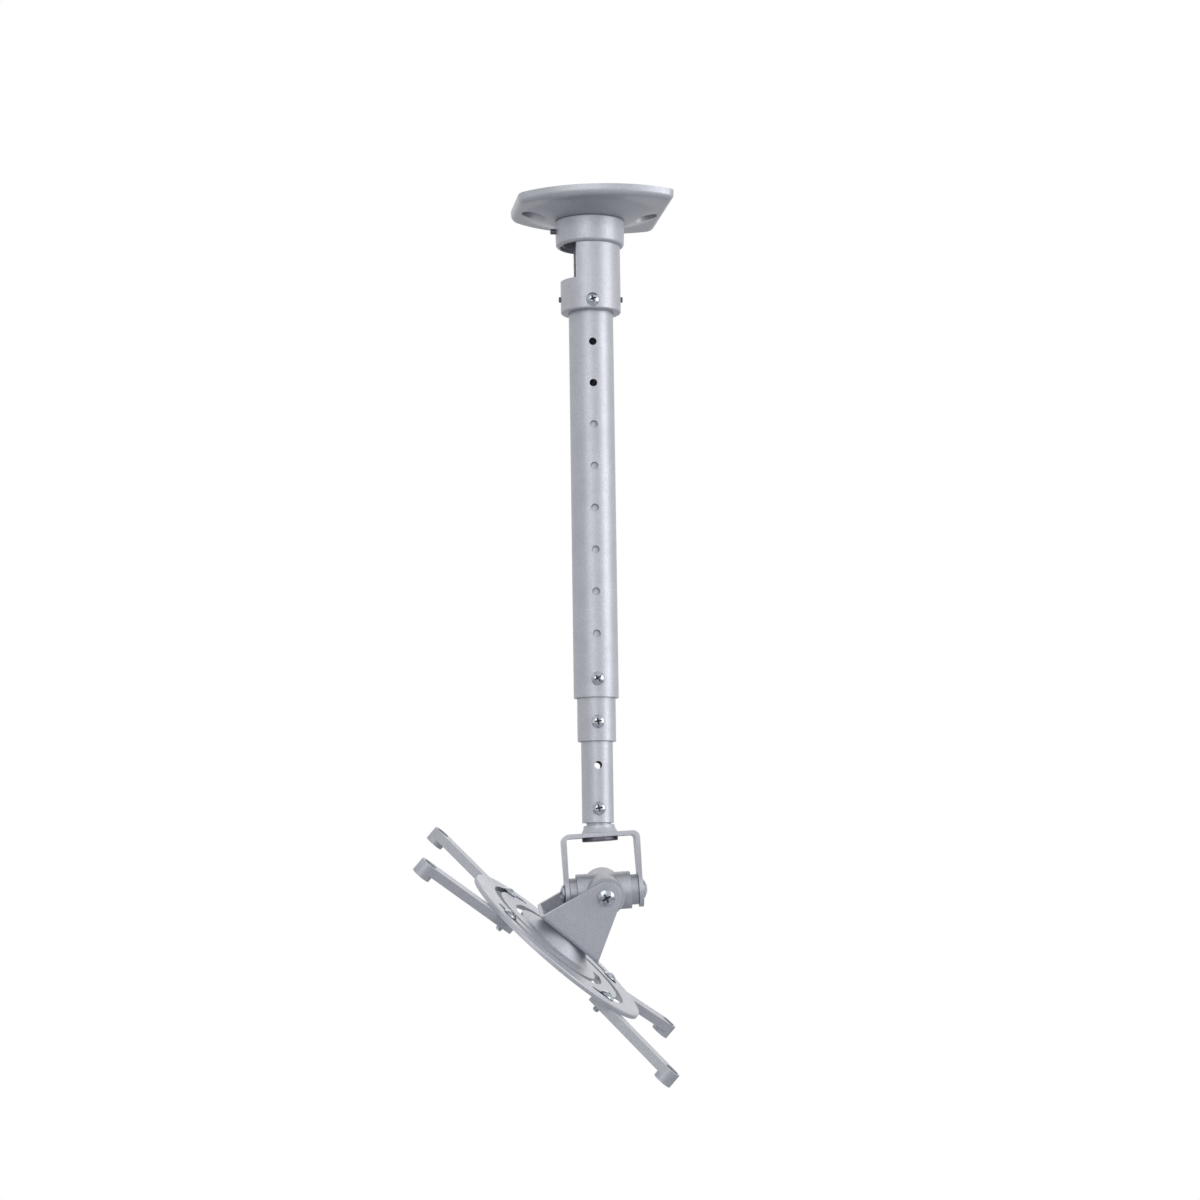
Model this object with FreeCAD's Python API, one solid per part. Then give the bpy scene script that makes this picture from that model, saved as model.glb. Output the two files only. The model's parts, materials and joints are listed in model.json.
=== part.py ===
"""A telescopic ceiling mount for a projector, modelled piece by piece in millimetres.

The origin is the middle of the ceiling plate's upper face and +Z points up into the ceiling.
The plate's straight sides face +X and -X. Everything else hangs below, in the pose of the
reference: the head leans in the pole's foot and both tilt joints are set.
"""

import FreeCAD, Part
import math
import os

V = FreeCAD.Vector
Placement = FreeCAD.Placement
Rotation = FreeCAD.Rotation
X = V(1, 0, 0)
Y = V(0, 1, 0)
Z = V(0, 0, 1)

# Clearances
RUNNING = 0.08          # radial, between a hole and the pin that turns in it
THREAD = 0.05           # radial, between a tapped hole and its screw
TUBE_GAP = 0.3          # radial, between two telescoping tubes
FACE_PLAY = 0.05        # between two faces that slide on each other
TIP_GAP = 0.2           # between a clamping screw's tip and what it clamps
PAST = 1.0              # how far a cutter runs past what it cuts

# Every cross-head screw, as shares of its head
HEAD_EDGE = 0.35        # height of the head's upright edge, of its height
CROSS_LENGTH = 1.15     # of its radius
CROSS_WIDTH = 0.22      # of its radius
CROSS_FLOOR = 0.4       # of its height

# Ceiling plate: a pressed dish, open towards the ceiling
PLATE_WIDTH = 109.0
PLATE_DEPTH = 122.0
PLATE_BOW = 90.0
PLATE_CORNER = 9.0
PLATE_WALL = 2.6
RIM_HEIGHT = 6.2
RIM_ROUND = 4.5
SEAT_DEPTH = 13.1
SEAT_RADIUS = 29.0
SEAT_BLEND = 20.0
DOME_RADIUS = 47.0
DOME_BLEND = 12.0
SCREW_SPACING = 82.0
SCREW_SLOT_WIDTH = 6.4
SCREW_SLOT_LENGTH = 11.0
DIMPLE_FLOOR_RADIUS = 7.4
DIMPLE_FLARE = 0.2      # growth of the dimple's radius for each millimetre of depth
DIMPLE_WALL = 2.4

# Swivel collar, swaged into the plate
COLLAR_RADIUS = 25.0
COLLAR_TAPER = 0.4
COLLAR_HEIGHT = 28.7
COLLAR_ROUND = 2.4
COLLAR_LIP = 3.0
COLLAR_CROWN = 2.5
NECK_RADIUS = 19.0
NECK_BORE = 16.0
SWAGE_RADIUS = 22.0
SWAGE_HEIGHT = 1.8
SET_SCREW_RADIUS = 2.0
SET_SCREW_DROP = 7.6    # below the plate's seat
SET_SCREW_PROUD = 3.6
SET_SCREW_HEX = 2.0
SET_SCREW_HEX_DEPTH = 1.6

# Pole socket, hung on the collar's lip
SOCKET_RADIUS = 21.65
SOCKET_HEAD_GAP = 1.0
SOCKET_FLANGE = 1.2     # how far the flange stands out
SOCKET_FLANGE_HEIGHT = 3.5
FLANGE_GAP = 0.3
SOCKET_BOTTOM = 80.9    # below the ceiling
SOCKET_BORE = 14.0
SOCKET_ROUND = 1.5
WINDOW_PLANE = 11.0     # the window cuts away what lies further left
WINDOW_BOTTOM = 57.6    # below the ceiling
WINDOW_HEADROOM = 0.8   # wall left between the window and the flange
SOCKET_SCREW_DROP = 74.6
SOCKET_SCREW_TURN = 20.0     # degrees that the cross is turned about the screw's axis
SOCKET_SCREW_COUNT = 4

# Telescopic pole
TUBE_RADIUS = 16.0
OUTER_WALL = 2.0
MIDDLE_WALL = 2.15
INNER_WALL = 1.75
OUTER_TOP = 60.0
OUTER_BOTTOM = 358.6
MIDDLE_TOP = 149.0
MIDDLE_SHOWN = 30.9     # what shows of the middle tube
MIDDLE_BOTTOM = OUTER_BOTTOM + MIDDLE_SHOWN
INNER_TOP = 207.0
INNER_SHOWN = 57.4
INNER_BOTTOM = MIDDLE_BOTTOM + INNER_SHOWN
HOLE_RADIUS = 2.75
HOLE_COUNT = 8
HOLE_PITCH = 30.0
FIRST_HOLE = 104.0
CROSS_HOLE_RISE = 40.4  # above the tube's lower end, as for the three screws
OUTER_SCREW_RISE = 12.8
MIDDLE_SCREW_RISE = 13.5
FOOT_SCREW_RISE = 9.9
CROSS_HOLE = INNER_BOTTOM - CROSS_HOLE_RISE
OUTER_SCREW = OUTER_BOTTOM - OUTER_SCREW_RISE
MIDDLE_SCREW = MIDDLE_BOTTOM - MIDDLE_SCREW_RISE
FOOT_SCREW = INNER_BOTTOM - FOOT_SCREW_RISE
POLE_SCREW_HEAD = 4.7
POLE_SCREW_HEAD_HEIGHT = 3.0
POLE_SCREW_SHANK = 2.45
OUTER_SCREW_TURN = 35.0      # degrees that the cross is turned about the screw's axis
MIDDLE_SCREW_TURN = 10.0
FOOT_SCREW_TURN = 12.0

# Swivel foot under the pole, measured down from the foot screw along the leaning axis
PLUG_SHANK = 8.75
PLUG_TOP = 10.0         # above the foot screw
PLUG_FLARE_TOP = 11.5
PLUG_FLARE_RADIUS = 11.0
PLUG_BASE_RADIUS = 13.0
PLUG_FLARE_WAIST = 0.45
BAIL_DROP = 17.0
FOOT_SCREW_BITE = 4.6   # from the axis to the screw's end
PLUG_BORE_SPARE = 1.0   # bore past the end of each screw in the plug
SWIVEL_BOLT_RADIUS = 3.95
SWIVEL_BOLT_TOP = 5.5
SWIVEL_HEAD_RADIUS = 12.7
SWIVEL_HEAD_HEIGHT = 2.8
SWIVEL_HEAD_ROUND = 0.5

# Bail
BAIL_THICK = 3.0
BAIL_WIDTH = 54.8
STRAP_WIDTH = 25.0
BAIL_BEND = 5.0
NECK_WIDTH = 15.0
SHOULDER_RISE = 5.5     # the ear's shoulder above the pivot
SHOULDER_ROUND = 2.0
PIVOT_DROP = 58.2

# Cross block
BARREL_RADIUS = 12.6
BARREL_LENGTH = 38.0
HUB_RADIUS = 16.5
HUB_LENGTH = 25.0
BOSS_RADIUS = 13.6
BLOCK_ROUND = 1.2
BUSH_RADIUS = 10.7
BUSH_ROUND = 0.6
PIVOT_SCREW_SHANK = 2.95
SIDE_SCREW_HEAD = 6.5
SIDE_SCREW_HEAD_HEIGHT = 3.5
SIDE_SCREW_BITE = 9.0
SIDE_SCREW_TURN = 30.0
TILT_SCREW_HEAD = 6.0
TILT_SCREW_HEAD_HEIGHT = 3.0
TILT_SCREW_BITE = 9.0
TILT_SCREW_TURN = 25.0
PIVOT_BORE_SPARE = 1.0       # tapped depth past each pivot screw's end

# Tilt bracket
CHEEK_SPREAD = 39.6
BRACKET_THICK = 2.5
CHEEK_APEX = 11.0
WEB_DROP = 40.0
WEB_LENGTH = 52.6
BRACKET_BEND = 3.0

# Centre joint of the disc
CENTRE_BOLT_RADIUS = 4.0
CENTRE_HEX = 13.0       # across the flats of its head and nut
CENTRE_HEAD_HEIGHT = 5.3
CENTRE_NUT_HEIGHT = 4.5
CENTRE_BOLT_END = 1.5   # past the nut
WASHER_RADIUS = 10.0
BOLT_HOLE_GAP = 0.2

# Spider disc
DISC_DROP = 49.1        # the disc's top face below the pivot
DISC_RADIUS = 75.05
DISC_THICK = 3.3
DISC_ROUND = 1.2
BOSS_BASE = 27.0
BOSS_TOP = 15.0
BOSS_HEIGHT = 6.5
BOSS_WALL = 2.8
BOSS_BLEND = 3.0
SLOT_COUNT = 4
SLOT_WIDTH = 6.0
SLOT_ARC = 47.3         # radius of each slot's centre line
SLOT_OFFSET_X = -11.65  # where the first slot's arc is struck from
SLOT_OFFSET_Y = -7.78
SLOT_START = 9.5        # degrees about that point, at the slot's inner end
SLOT_SWEEP = 163.2      # degrees, clockwise from above

# Arms and the screws that carry them
ARM_LENGTH = 74.0       # from the screw to the middle of the tip's cup
ARM_WIDTH = 13.6
ARM_WALL = 1.9
ARM_WEB = 2.0
ARM_HEIGHT = 6.5
ARM_TAIL = 9.5
ARM_ROUND = 1.0
ARM_TAIL_ROUND = 2.5
CUP_DEPTH = 10.5
CUP_FLOOR = 2.0
CUP_HOLE = 2.75
CUP_ROUND = 1.0
ARM_SCREW_SHANK = 2.5
ARM_SCREW_HEAD = 5.25
ARM_SCREW_HEAD_HEIGHT = 3.0
ARM_NUT_HEX = 8.0
ARM_NUT_HEIGHT = 4.0
ARM_SCREW_END = 3.5     # past the arm's lower edge

# Pose, in degrees
POLE_TURN = -4.0
HEAD_LEAN = 3.24
BLOCK_TILT = 13.9
BRACKET_TILT = 43.5
CARRIAGE_SWEEPS = (148.8, 146.5, 157.1, 143.1)    # along each slot from its inner end
ARM_DIRECTIONS = (199.7, -41.8, 30.2, 141.8)      # in the disc's plane

# Frames that the pieces hang in
POLE = Placement(V(), Rotation(Z, POLE_TURN))
HEAD = POLE * Placement(V(0, 0, -FOOT_SCREW), Rotation(Y, -HEAD_LEAN))
BLOCK = HEAD * Placement(V(0, 0, -PIVOT_DROP), Rotation(X, BLOCK_TILT))
BRACKET = BLOCK * Placement(V(), Rotation(Y, BRACKET_TILT))
DISC = BRACKET * Placement(V(0, 0, -DISC_DROP), Rotation())

# Sizes that follow from the ones above
SEAT = -SEAT_DEPTH
COLLAR_BOTTOM = SEAT - COLLAR_HEIGHT
LEDGE = COLLAR_BOTTOM + COLLAR_LIP
MIDDLE_RADIUS = TUBE_RADIUS - OUTER_WALL - TUBE_GAP
INNER_RADIUS = MIDDLE_RADIUS - MIDDLE_WALL - TUBE_GAP
STRAP_UNDERSIDE = -BAIL_DROP - BAIL_THICK
EAR_INSIDE = BAIL_WIDTH / 2 - BAIL_THICK
CHEEK_INSIDE = CHEEK_SPREAD / 2 - BRACKET_THICK
WASHER_HEIGHT = DISC_DROP - WEB_DROP - BOSS_HEIGHT
BOSS_ROOF = BOSS_HEIGHT - BOSS_WALL


def moved(shape, placement):
    """A copy of the shape carried into the frame."""
    copy = shape.copy()
    copy.Placement = placement * copy.Placement
    return copy


def rod(radius, start, end, axis=Z):
    """A round bar along an axis through the origin, from start to end."""
    return Part.makeCylinder(radius, end - start, axis * start, axis)


def turned(*points):
    """A solid turned about Z from its half section, given as (radius, height) points."""
    corners = [V(radius, 0, height) for radius, height in points]
    section = Part.Face(Part.makePolygon(corners + corners[:1]))
    return section.revolve(V(), Z, 360)


def circles_at(shape, radius, height):
    """The circular edges about Z that have this radius and height."""
    found = []
    for edge in shape.Edges:
        if edge.Curve.TypeId != "Part::GeomCircle":
            continue
        if abs(edge.Curve.Radius - radius) > 0.01:
            continue
        if abs(edge.Curve.Center.z - height) < 0.01:
            found.append(edge)
    return found


def hexagon(across, bottom, top):
    """A hexagonal prism about Z."""
    radius = across / math.sqrt(3)
    corners = [V(radius, 0, bottom)]
    for side in range(1, 7):
        angle = math.radians(60 * side)
        corners.append(V(radius * math.cos(angle), radius * math.sin(angle), bottom))
    return Part.Face(Part.makePolygon(corners)).extrude(V(0, 0, top - bottom))


def domed_screw(head_radius, head_height, shank_radius, shank_length):
    """A screw whose head stands on z = 0 with a cross recess, and whose shank points down."""
    edge_height = HEAD_EDGE * head_height
    crown = head_height - edge_height
    crown_radius = (head_radius**2 + crown**2) / (2 * crown)
    middle = head_radius / 2
    middle_height = head_height - crown_radius + math.sqrt(crown_radius**2 - middle**2)
    start = V(0, 0, head_height)
    end = V(head_radius, 0, edge_height)
    dome = Part.Arc(start, V(middle, 0, middle_height), end).toShape()
    rest = Part.makePolygon([end, V(head_radius, 0, 0), V(), start])
    head = Part.Face(Part.Wire([dome] + rest.Edges)).revolve(V(), Z, 360)
    screw = head.fuse(rod(shank_radius, -shank_length, 0)).removeSplitter()
    recess_length = CROSS_LENGTH * head_radius
    recess_width = CROSS_WIDTH * head_radius
    recess_floor = CROSS_FLOOR * head_height
    for length, width in ((recess_length, recess_width), (recess_width, recess_length)):
        corner = V(-length / 2, -width / 2, recess_floor)
        screw = screw.cut(Part.makeBox(length, width, head_height, corner))
    return screw


def on_side(shape, origin, direction, turn=0.0):
    """The shape with its +Z laid along direction at origin, after a turn about its own axis."""
    return moved(shape, Placement(origin, Rotation(Z, direction)) * Placement(V(), Rotation(Z, turn)))


# Ceiling plate
def dish(inset):
    """The dish's solid body, drawn in by inset on every side but the open one."""
    half_width = PLATE_WIDTH / 2 - inset
    floor = RIM_HEIGHT - inset
    bow_centre = PLATE_BOW - PLATE_DEPTH / 2
    body = Part.makeBox(2 * half_width, PLATE_DEPTH, floor, V(-half_width, -PLATE_DEPTH / 2, -floor))
    for side in (-1, 1):
        bow = Part.makeCylinder(PLATE_BOW - inset, floor, V(0, side * bow_centre, -floor))
        body = body.common(bow)
    uprights = [edge for edge in body.Edges if abs(edge.tangentAt(edge.FirstParameter).z) > 0.99]
    body = body.makeFillet(PLATE_CORNER - inset, uprights)
    rim = [edge for edge in body.Edges if abs(edge.BoundBox.ZMax + floor) < 0.01]
    body = body.makeFillet(RIM_ROUND - inset, rim)
    slope = math.atan2(SEAT_DEPTH - RIM_HEIGHT, DOME_RADIUS - SEAT_RADIUS)
    draw = inset * math.tan(slope / 2)
    seat = SEAT + inset
    dome_radius = DOME_RADIUS - draw
    seat_radius = SEAT_RADIUS - draw
    dome = turned((0, -floor), (dome_radius, -floor), (seat_radius, seat), (0, seat))
    body = body.fuse(dome).removeSplitter()
    body = body.makeFillet(SEAT_BLEND - inset, circles_at(body, seat_radius, seat))
    return body.makeFillet(DOME_BLEND + inset, circles_at(body, dome_radius, -floor))


def slot_cutter(width, length, bottom, top):
    """A straight slot's prism along X."""
    radius = width / 2
    half = length / 2 - radius
    cutter = Part.makeBox(2 * half, width, top - bottom, V(-half, -radius, bottom))
    for end in (-half, half):
        cutter = cutter.fuse(Part.makeCylinder(radius, top - bottom, V(end, 0, bottom)))
    return cutter.removeSplitter()


def ceiling_plate():
    outside = dish(0)
    plate = outside.cut(dish(PLATE_WALL))
    depth = SEAT_DEPTH - PLATE_WALL
    mouth_radius = DIMPLE_FLOOR_RADIUS + DIMPLE_FLARE * depth
    pad_top = DIMPLE_FLOOR_RADIUS - DIMPLE_FLARE * PLATE_WALL + DIMPLE_WALL
    for x in (-SCREW_SPACING / 2, SCREW_SPACING / 2):
        base = V(x, 0, SEAT)
        pad = Part.makeCone(mouth_radius + DIMPLE_WALL, pad_top, SEAT_DEPTH, base)
        dimple = Part.makeCone(mouth_radius, DIMPLE_FLOOR_RADIUS, depth, base)
        slot = slot_cutter(SCREW_SLOT_WIDTH, SCREW_SLOT_LENGTH, SEAT, PAST)
        slot.translate(V(x, 0, 0))
        plate = plate.fuse(pad.common(outside)).cut(dimple).cut(slot)
    plate = plate.cut(rod(NECK_RADIUS + RUNNING, SEAT - PAST, 0))
    return plate.removeSplitter()


# Swivel collar and its set screw
def swivel_collar():
    lip_bore = SOCKET_RADIUS + RUNNING
    chamber = SOCKET_RADIUS + SOCKET_FLANGE + FLANGE_GAP
    lower_radius = COLLAR_RADIUS - COLLAR_TAPER
    swage_top = SEAT + PLATE_WALL + SWAGE_HEIGHT
    collar = turned(
        (NECK_BORE, swage_top),
        (SWAGE_RADIUS, swage_top),
        (SWAGE_RADIUS, SEAT + PLATE_WALL),
        (NECK_RADIUS, SEAT + PLATE_WALL),
        (NECK_RADIUS, SEAT),
        (COLLAR_RADIUS, SEAT),
        (lower_radius, COLLAR_BOTTOM),
        (lip_bore, COLLAR_BOTTOM),
        (lip_bore, LEDGE),
        (chamber, LEDGE),
        (chamber, SEAT - COLLAR_CROWN),
        (NECK_BORE, SEAT - COLLAR_CROWN),
    )
    collar = collar.makeFillet(COLLAR_ROUND, circles_at(collar, lower_radius, COLLAR_BOTTOM))
    middle = V(0, 0, SEAT - SET_SCREW_DROP)
    hole = Part.makeCylinder(SET_SCREW_RADIUS + THREAD, COLLAR_RADIUS, middle, -X)
    return collar.cut(hole)


def collar_set_screw():
    tip = SOCKET_RADIUS + TIP_GAP
    head = COLLAR_RADIUS + SET_SCREW_PROUD
    screw = rod(SET_SCREW_RADIUS, tip, head)
    screw = screw.cut(hexagon(SET_SCREW_HEX, head - SET_SCREW_HEX_DEPTH, head))
    return on_side(screw, V(0, 0, SEAT - SET_SCREW_DROP), -X)


# Pole socket and its screws
def round_the_socket(shape):
    """One copy of a radial shape for each socket screw, the first one at the front."""
    step = 360 / SOCKET_SCREW_COUNT
    return [moved(shape, Placement(V(), Rotation(Z, step * n))) for n in range(SOCKET_SCREW_COUNT)]


def socket_screw_hole(radius):
    return Part.makeCylinder(radius, SOCKET_RADIUS + PAST, V(0, 0, -SOCKET_SCREW_DROP), -Y)


def pole_socket():
    flange_top = LEDGE + SOCKET_FLANGE_HEIGHT
    head = SEAT - COLLAR_CROWN - SOCKET_HEAD_GAP
    flange_radius = SOCKET_RADIUS + SOCKET_FLANGE
    tube_bore = TUBE_RADIUS + THREAD
    socket = turned(
        (SOCKET_BORE, head),
        (SOCKET_RADIUS, head),
        (SOCKET_RADIUS, flange_top),
        (flange_radius, flange_top),
        (flange_radius, LEDGE),
        (SOCKET_RADIUS, LEDGE),
        (SOCKET_RADIUS, -SOCKET_BOTTOM),
        (tube_bore, -SOCKET_BOTTOM),
        (tube_bore, -OUTER_TOP),
        (SOCKET_BORE, -OUTER_TOP),
    )
    socket = socket.makeFillet(SOCKET_ROUND, circles_at(socket, SOCKET_RADIUS, -SOCKET_BOTTOM))
    reach = SOCKET_RADIUS + PAST
    window_top = LEDGE - WINDOW_HEADROOM
    corner = V(-reach, -reach, -WINDOW_BOTTOM)
    window = Part.makeBox(reach - WINDOW_PLANE, 2 * reach, window_top + WINDOW_BOTTOM, corner)
    socket = socket.cut(window)
    return socket.cut(round_the_socket(socket_screw_hole(POLE_SCREW_SHANK + THREAD)))


def pole_screw(length):
    return domed_screw(POLE_SCREW_HEAD, POLE_SCREW_HEAD_HEIGHT, POLE_SCREW_SHANK, length)


def socket_screws():
    length = SOCKET_RADIUS - TUBE_RADIUS + OUTER_WALL
    seat = V(0, -SOCKET_RADIUS, -SOCKET_SCREW_DROP)
    screw = on_side(pole_screw(length), seat, -Y, SOCKET_SCREW_TURN)
    return Part.makeCompound(round_the_socket(screw))


# Telescopic tubes, each with a clamping screw near its lower end
def tube(radius, wall, top, bottom, screw_drop):
    """A tube with the hole for its screw in the front wall."""
    pipe = rod(radius, -bottom, -top).cut(rod(radius - wall, -bottom, -top))
    hole = Part.makeCylinder(POLE_SCREW_SHANK + THREAD, radius + PAST, V(0, 0, -screw_drop), -Y)
    return pipe.cut(hole)


def cross_hole(radius, drop):
    """A hole through both walls, from front to rear."""
    return Part.makeCylinder(HOLE_RADIUS, 2 * (radius + PAST), V(0, -radius - PAST, -drop), Y)


def outer_tube():
    pipe = tube(TUBE_RADIUS, OUTER_WALL, OUTER_TOP, OUTER_BOTTOM, OUTER_SCREW)
    row = [cross_hole(TUBE_RADIUS, FIRST_HOLE + HOLE_PITCH * n) for n in range(HOLE_COUNT)]
    return pipe.cut(row + round_the_socket(socket_screw_hole(POLE_SCREW_SHANK + THREAD)))


def middle_tube():
    return tube(MIDDLE_RADIUS, MIDDLE_WALL, MIDDLE_TOP, MIDDLE_BOTTOM, MIDDLE_SCREW)


def inner_tube():
    pipe = tube(INNER_RADIUS, INNER_WALL, INNER_TOP, INNER_BOTTOM, FOOT_SCREW)
    return pipe.cut(cross_hole(INNER_RADIUS, CROSS_HOLE))


def clamp_screw(tube_radius, clamped_radius, drop, turn):
    """A screw in the front wall of a tube, its tip just short of the tube inside."""
    screw = pole_screw(tube_radius - clamped_radius - TIP_GAP)
    return on_side(screw, V(0, -tube_radius, -drop), -Y, turn)


def outer_lock_screw():
    return clamp_screw(TUBE_RADIUS, MIDDLE_RADIUS, OUTER_SCREW, OUTER_SCREW_TURN)


def middle_lock_screw():
    return clamp_screw(MIDDLE_RADIUS, INNER_RADIUS, MIDDLE_SCREW, MIDDLE_SCREW_TURN)


def foot_screw():
    screw = pole_screw(INNER_RADIUS - FOOT_SCREW_BITE)
    return on_side(screw, V(0, -INNER_RADIUS, -FOOT_SCREW), -Y, FOOT_SCREW_TURN)


# Swivel foot, in the leaning frame whose origin is the foot screw's axis
def swivel_plug():
    waist = PLUG_FLARE_RADIUS + PLUG_FLARE_WAIST
    waist_height = -(PLUG_FLARE_TOP + BAIL_DROP) / 2
    top = V(PLUG_FLARE_RADIUS, 0, -PLUG_FLARE_TOP)
    base = V(PLUG_BASE_RADIUS, 0, -BAIL_DROP)
    flank = Part.Arc(top, V(waist, 0, waist_height), base).toShape()
    bore = SWIVEL_BOLT_RADIUS + THREAD
    bore_top = PLUG_BORE_SPARE - SWIVEL_BOLT_TOP
    rest = Part.makePolygon([
        base,
        V(bore, 0, -BAIL_DROP),
        V(bore, 0, bore_top),
        V(0, 0, bore_top),
        V(0, 0, PLUG_TOP),
        V(PLUG_SHANK, 0, PLUG_TOP),
        V(PLUG_SHANK, 0, -PLUG_FLARE_TOP),
        top,
    ])
    plug = Part.Face(Part.Wire([flank] + rest.Edges)).revolve(V(), Z, 360)
    hole_start = FOOT_SCREW_BITE - PLUG_BORE_SPARE
    hole = Part.makeCylinder(POLE_SCREW_SHANK + THREAD, PLUG_SHANK, V(0, -hole_start, 0), -Y)
    return plug.cut(hole)


def swivel_bolt():
    head_bottom = STRAP_UNDERSIDE - SWIVEL_HEAD_HEIGHT
    head = rod(SWIVEL_HEAD_RADIUS, head_bottom, STRAP_UNDERSIDE)
    head = head.makeFillet(SWIVEL_HEAD_ROUND, circles_at(head, SWIVEL_HEAD_RADIUS, head_bottom))
    return head.fuse(rod(SWIVEL_BOLT_RADIUS, STRAP_UNDERSIDE, -SWIVEL_BOLT_TOP)).removeSplitter()


def ear_outline():
    """The bail's side view: a tapering leg, a shouldered ear and its round end."""
    half_strap = STRAP_WIDTH / 2
    half_neck = NECK_WIDTH / 2
    shoulder = -PIVOT_DROP + SHOULDER_RISE
    taper_top = STRAP_UNDERSIDE - BAIL_BEND
    right = [
        V(0, half_strap, 0),
        V(0, half_strap, taper_top),
        V(0, half_neck, shoulder),
        V(0, half_strap, shoulder),
        V(0, half_strap, -PIVOT_DROP),
    ]
    left = [V(0, -point.y, point.z) for point in reversed(right)]
    end = Part.Arc(right[-1], V(0, 0, -PIVOT_DROP - half_strap), left[0]).toShape()
    edges = Part.makePolygon(right).Edges + [end] + Part.makePolygon(left + right[:1]).Edges
    return Part.Face(Part.Wire(edges))


def bail():
    half = BAIL_WIDTH / 2
    front = -STRAP_WIDTH / 2
    foot = PIVOT_DROP + STRAP_WIDTH
    blank = Part.makeBox(BAIL_WIDTH, STRAP_WIDTH, foot, V(-half, front, -BAIL_DROP - foot))
    space_corner = V(-EAR_INSIDE, front, STRAP_UNDERSIDE - foot)
    space = Part.makeBox(2 * EAR_INSIDE, STRAP_WIDTH, foot, space_corner)
    blank = blank.makeFillet(BAIL_BEND, bend_edges(blank, Y, -BAIL_DROP))
    space = space.makeFillet(BAIL_BEND - BAIL_THICK, bend_edges(space, Y, STRAP_UNDERSIDE))
    profile = ear_outline()
    profile.translate(V(-half, 0, 0))
    silhouette = profile.extrude(V(BAIL_WIDTH, 0, 0))
    shoulder = -PIVOT_DROP + SHOULDER_RISE
    corners = [
        edge for edge in silhouette.Edges
        if abs(edge.BoundBox.ZMin - shoulder) < 0.01
        and abs(edge.BoundBox.ZMax - shoulder) < 0.01
        and edge.BoundBox.XLength > BAIL_THICK
        and abs(abs(edge.CenterOfMass.y) - STRAP_WIDTH / 2) < 0.01
    ]
    silhouette = silhouette.makeFillet(SHOULDER_ROUND, corners)
    strap = blank.cut(space).common(silhouette)
    strap = strap.cut(rod(SWIVEL_BOLT_RADIUS + RUNNING, STRAP_UNDERSIDE - PAST, PAST - BAIL_DROP))
    pivots = rod(PIVOT_SCREW_SHANK + RUNNING, -half - PAST, half + PAST, X)
    pivots.translate(V(0, 0, -PIVOT_DROP))
    return strap.cut(pivots)


def bend_edges(shape, axis, height):
    """The two straight edges along axis at this height."""
    found = []
    for edge in shape.Edges:
        along = edge.tangentAt(edge.FirstParameter)
        if abs(along.dot(axis)) > 0.99 and abs(edge.CenterOfMass.z - height) < 0.01:
            found.append(edge)
    return found


# Cross block and its screws, about the point where the two tilt axes cross
def cross_block():
    half_barrel = BARREL_LENGTH / 2
    half_hub = HUB_LENGTH / 2
    half_boss = CHEEK_INSIDE - FACE_PLAY
    barrel = rod(BARREL_RADIUS, -half_barrel, half_barrel, X)
    hub = rod(HUB_RADIUS, -half_hub, half_hub, Y)
    barrel = barrel.makeFillet(BLOCK_ROUND, [edge for edge in barrel.Edges if edge.Closed])
    hub = hub.makeFillet(BLOCK_ROUND, [edge for edge in hub.Edges if edge.Closed])
    block = barrel.fuse([hub, rod(BOSS_RADIUS, -half_boss, half_boss, Y)]).removeSplitter()
    thread = PIVOT_SCREW_SHANK + THREAD
    side_bottom = half_barrel - SIDE_SCREW_BITE - PIVOT_BORE_SPARE
    tilt_bottom = half_boss - TILT_SCREW_BITE - PIVOT_BORE_SPARE
    for side in (-1, 1):
        block = block.cut(Part.makeCylinder(thread, half_barrel, X * side * side_bottom, X * side))
        block = block.cut(Part.makeCylinder(thread, half_boss, Y * side * tilt_bottom, Y * side))
    return block


def side_bush(side):
    start = BARREL_LENGTH / 2
    end = EAR_INSIDE - FACE_PLAY
    bush = rod(BUSH_RADIUS, start, end)
    bush = bush.makeFillet(BUSH_ROUND, circles_at(bush, BUSH_RADIUS, end))
    bush = bush.cut(rod(PIVOT_SCREW_SHANK + RUNNING, start - PAST, end + PAST))
    return on_side(bush, V(), X * side)


def side_screw(side):
    seat = BAIL_WIDTH / 2 + FACE_PLAY
    length = seat - BARREL_LENGTH / 2 + SIDE_SCREW_BITE
    screw = domed_screw(SIDE_SCREW_HEAD, SIDE_SCREW_HEAD_HEIGHT, PIVOT_SCREW_SHANK, length)
    return on_side(screw, X * side * seat, X * side, SIDE_SCREW_TURN)


def tilt_screw(side):
    seat = CHEEK_SPREAD / 2 + FACE_PLAY
    length = seat - CHEEK_INSIDE + TILT_SCREW_BITE
    screw = domed_screw(TILT_SCREW_HEAD, TILT_SCREW_HEAD_HEIGHT, PIVOT_SCREW_SHANK, length)
    return on_side(screw, Y * side * seat, Y * side, TILT_SCREW_TURN)


# Tilt bracket: two cheeks folded up from one web
def cheek_outline():
    """The bracket's front view: a round apex and two straight edges that run out to the web."""
    half = WEB_LENGTH / 2
    reach = math.hypot(half, WEB_DROP)
    angle = math.atan2(-WEB_DROP, half) + math.acos(CHEEK_APEX / reach)
    touch_x = CHEEK_APEX * math.cos(angle)
    touch_z = CHEEK_APEX * math.sin(angle)
    left = V(-touch_x, 0, touch_z)
    right = V(touch_x, 0, touch_z)
    apex = Part.Arc(left, V(0, 0, CHEEK_APEX), right).toShape()
    sides = Part.makePolygon([right, V(half, 0, -WEB_DROP), V(-half, 0, -WEB_DROP), left])
    return Part.Face(Part.Wire([apex] + sides.Edges))


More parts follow.
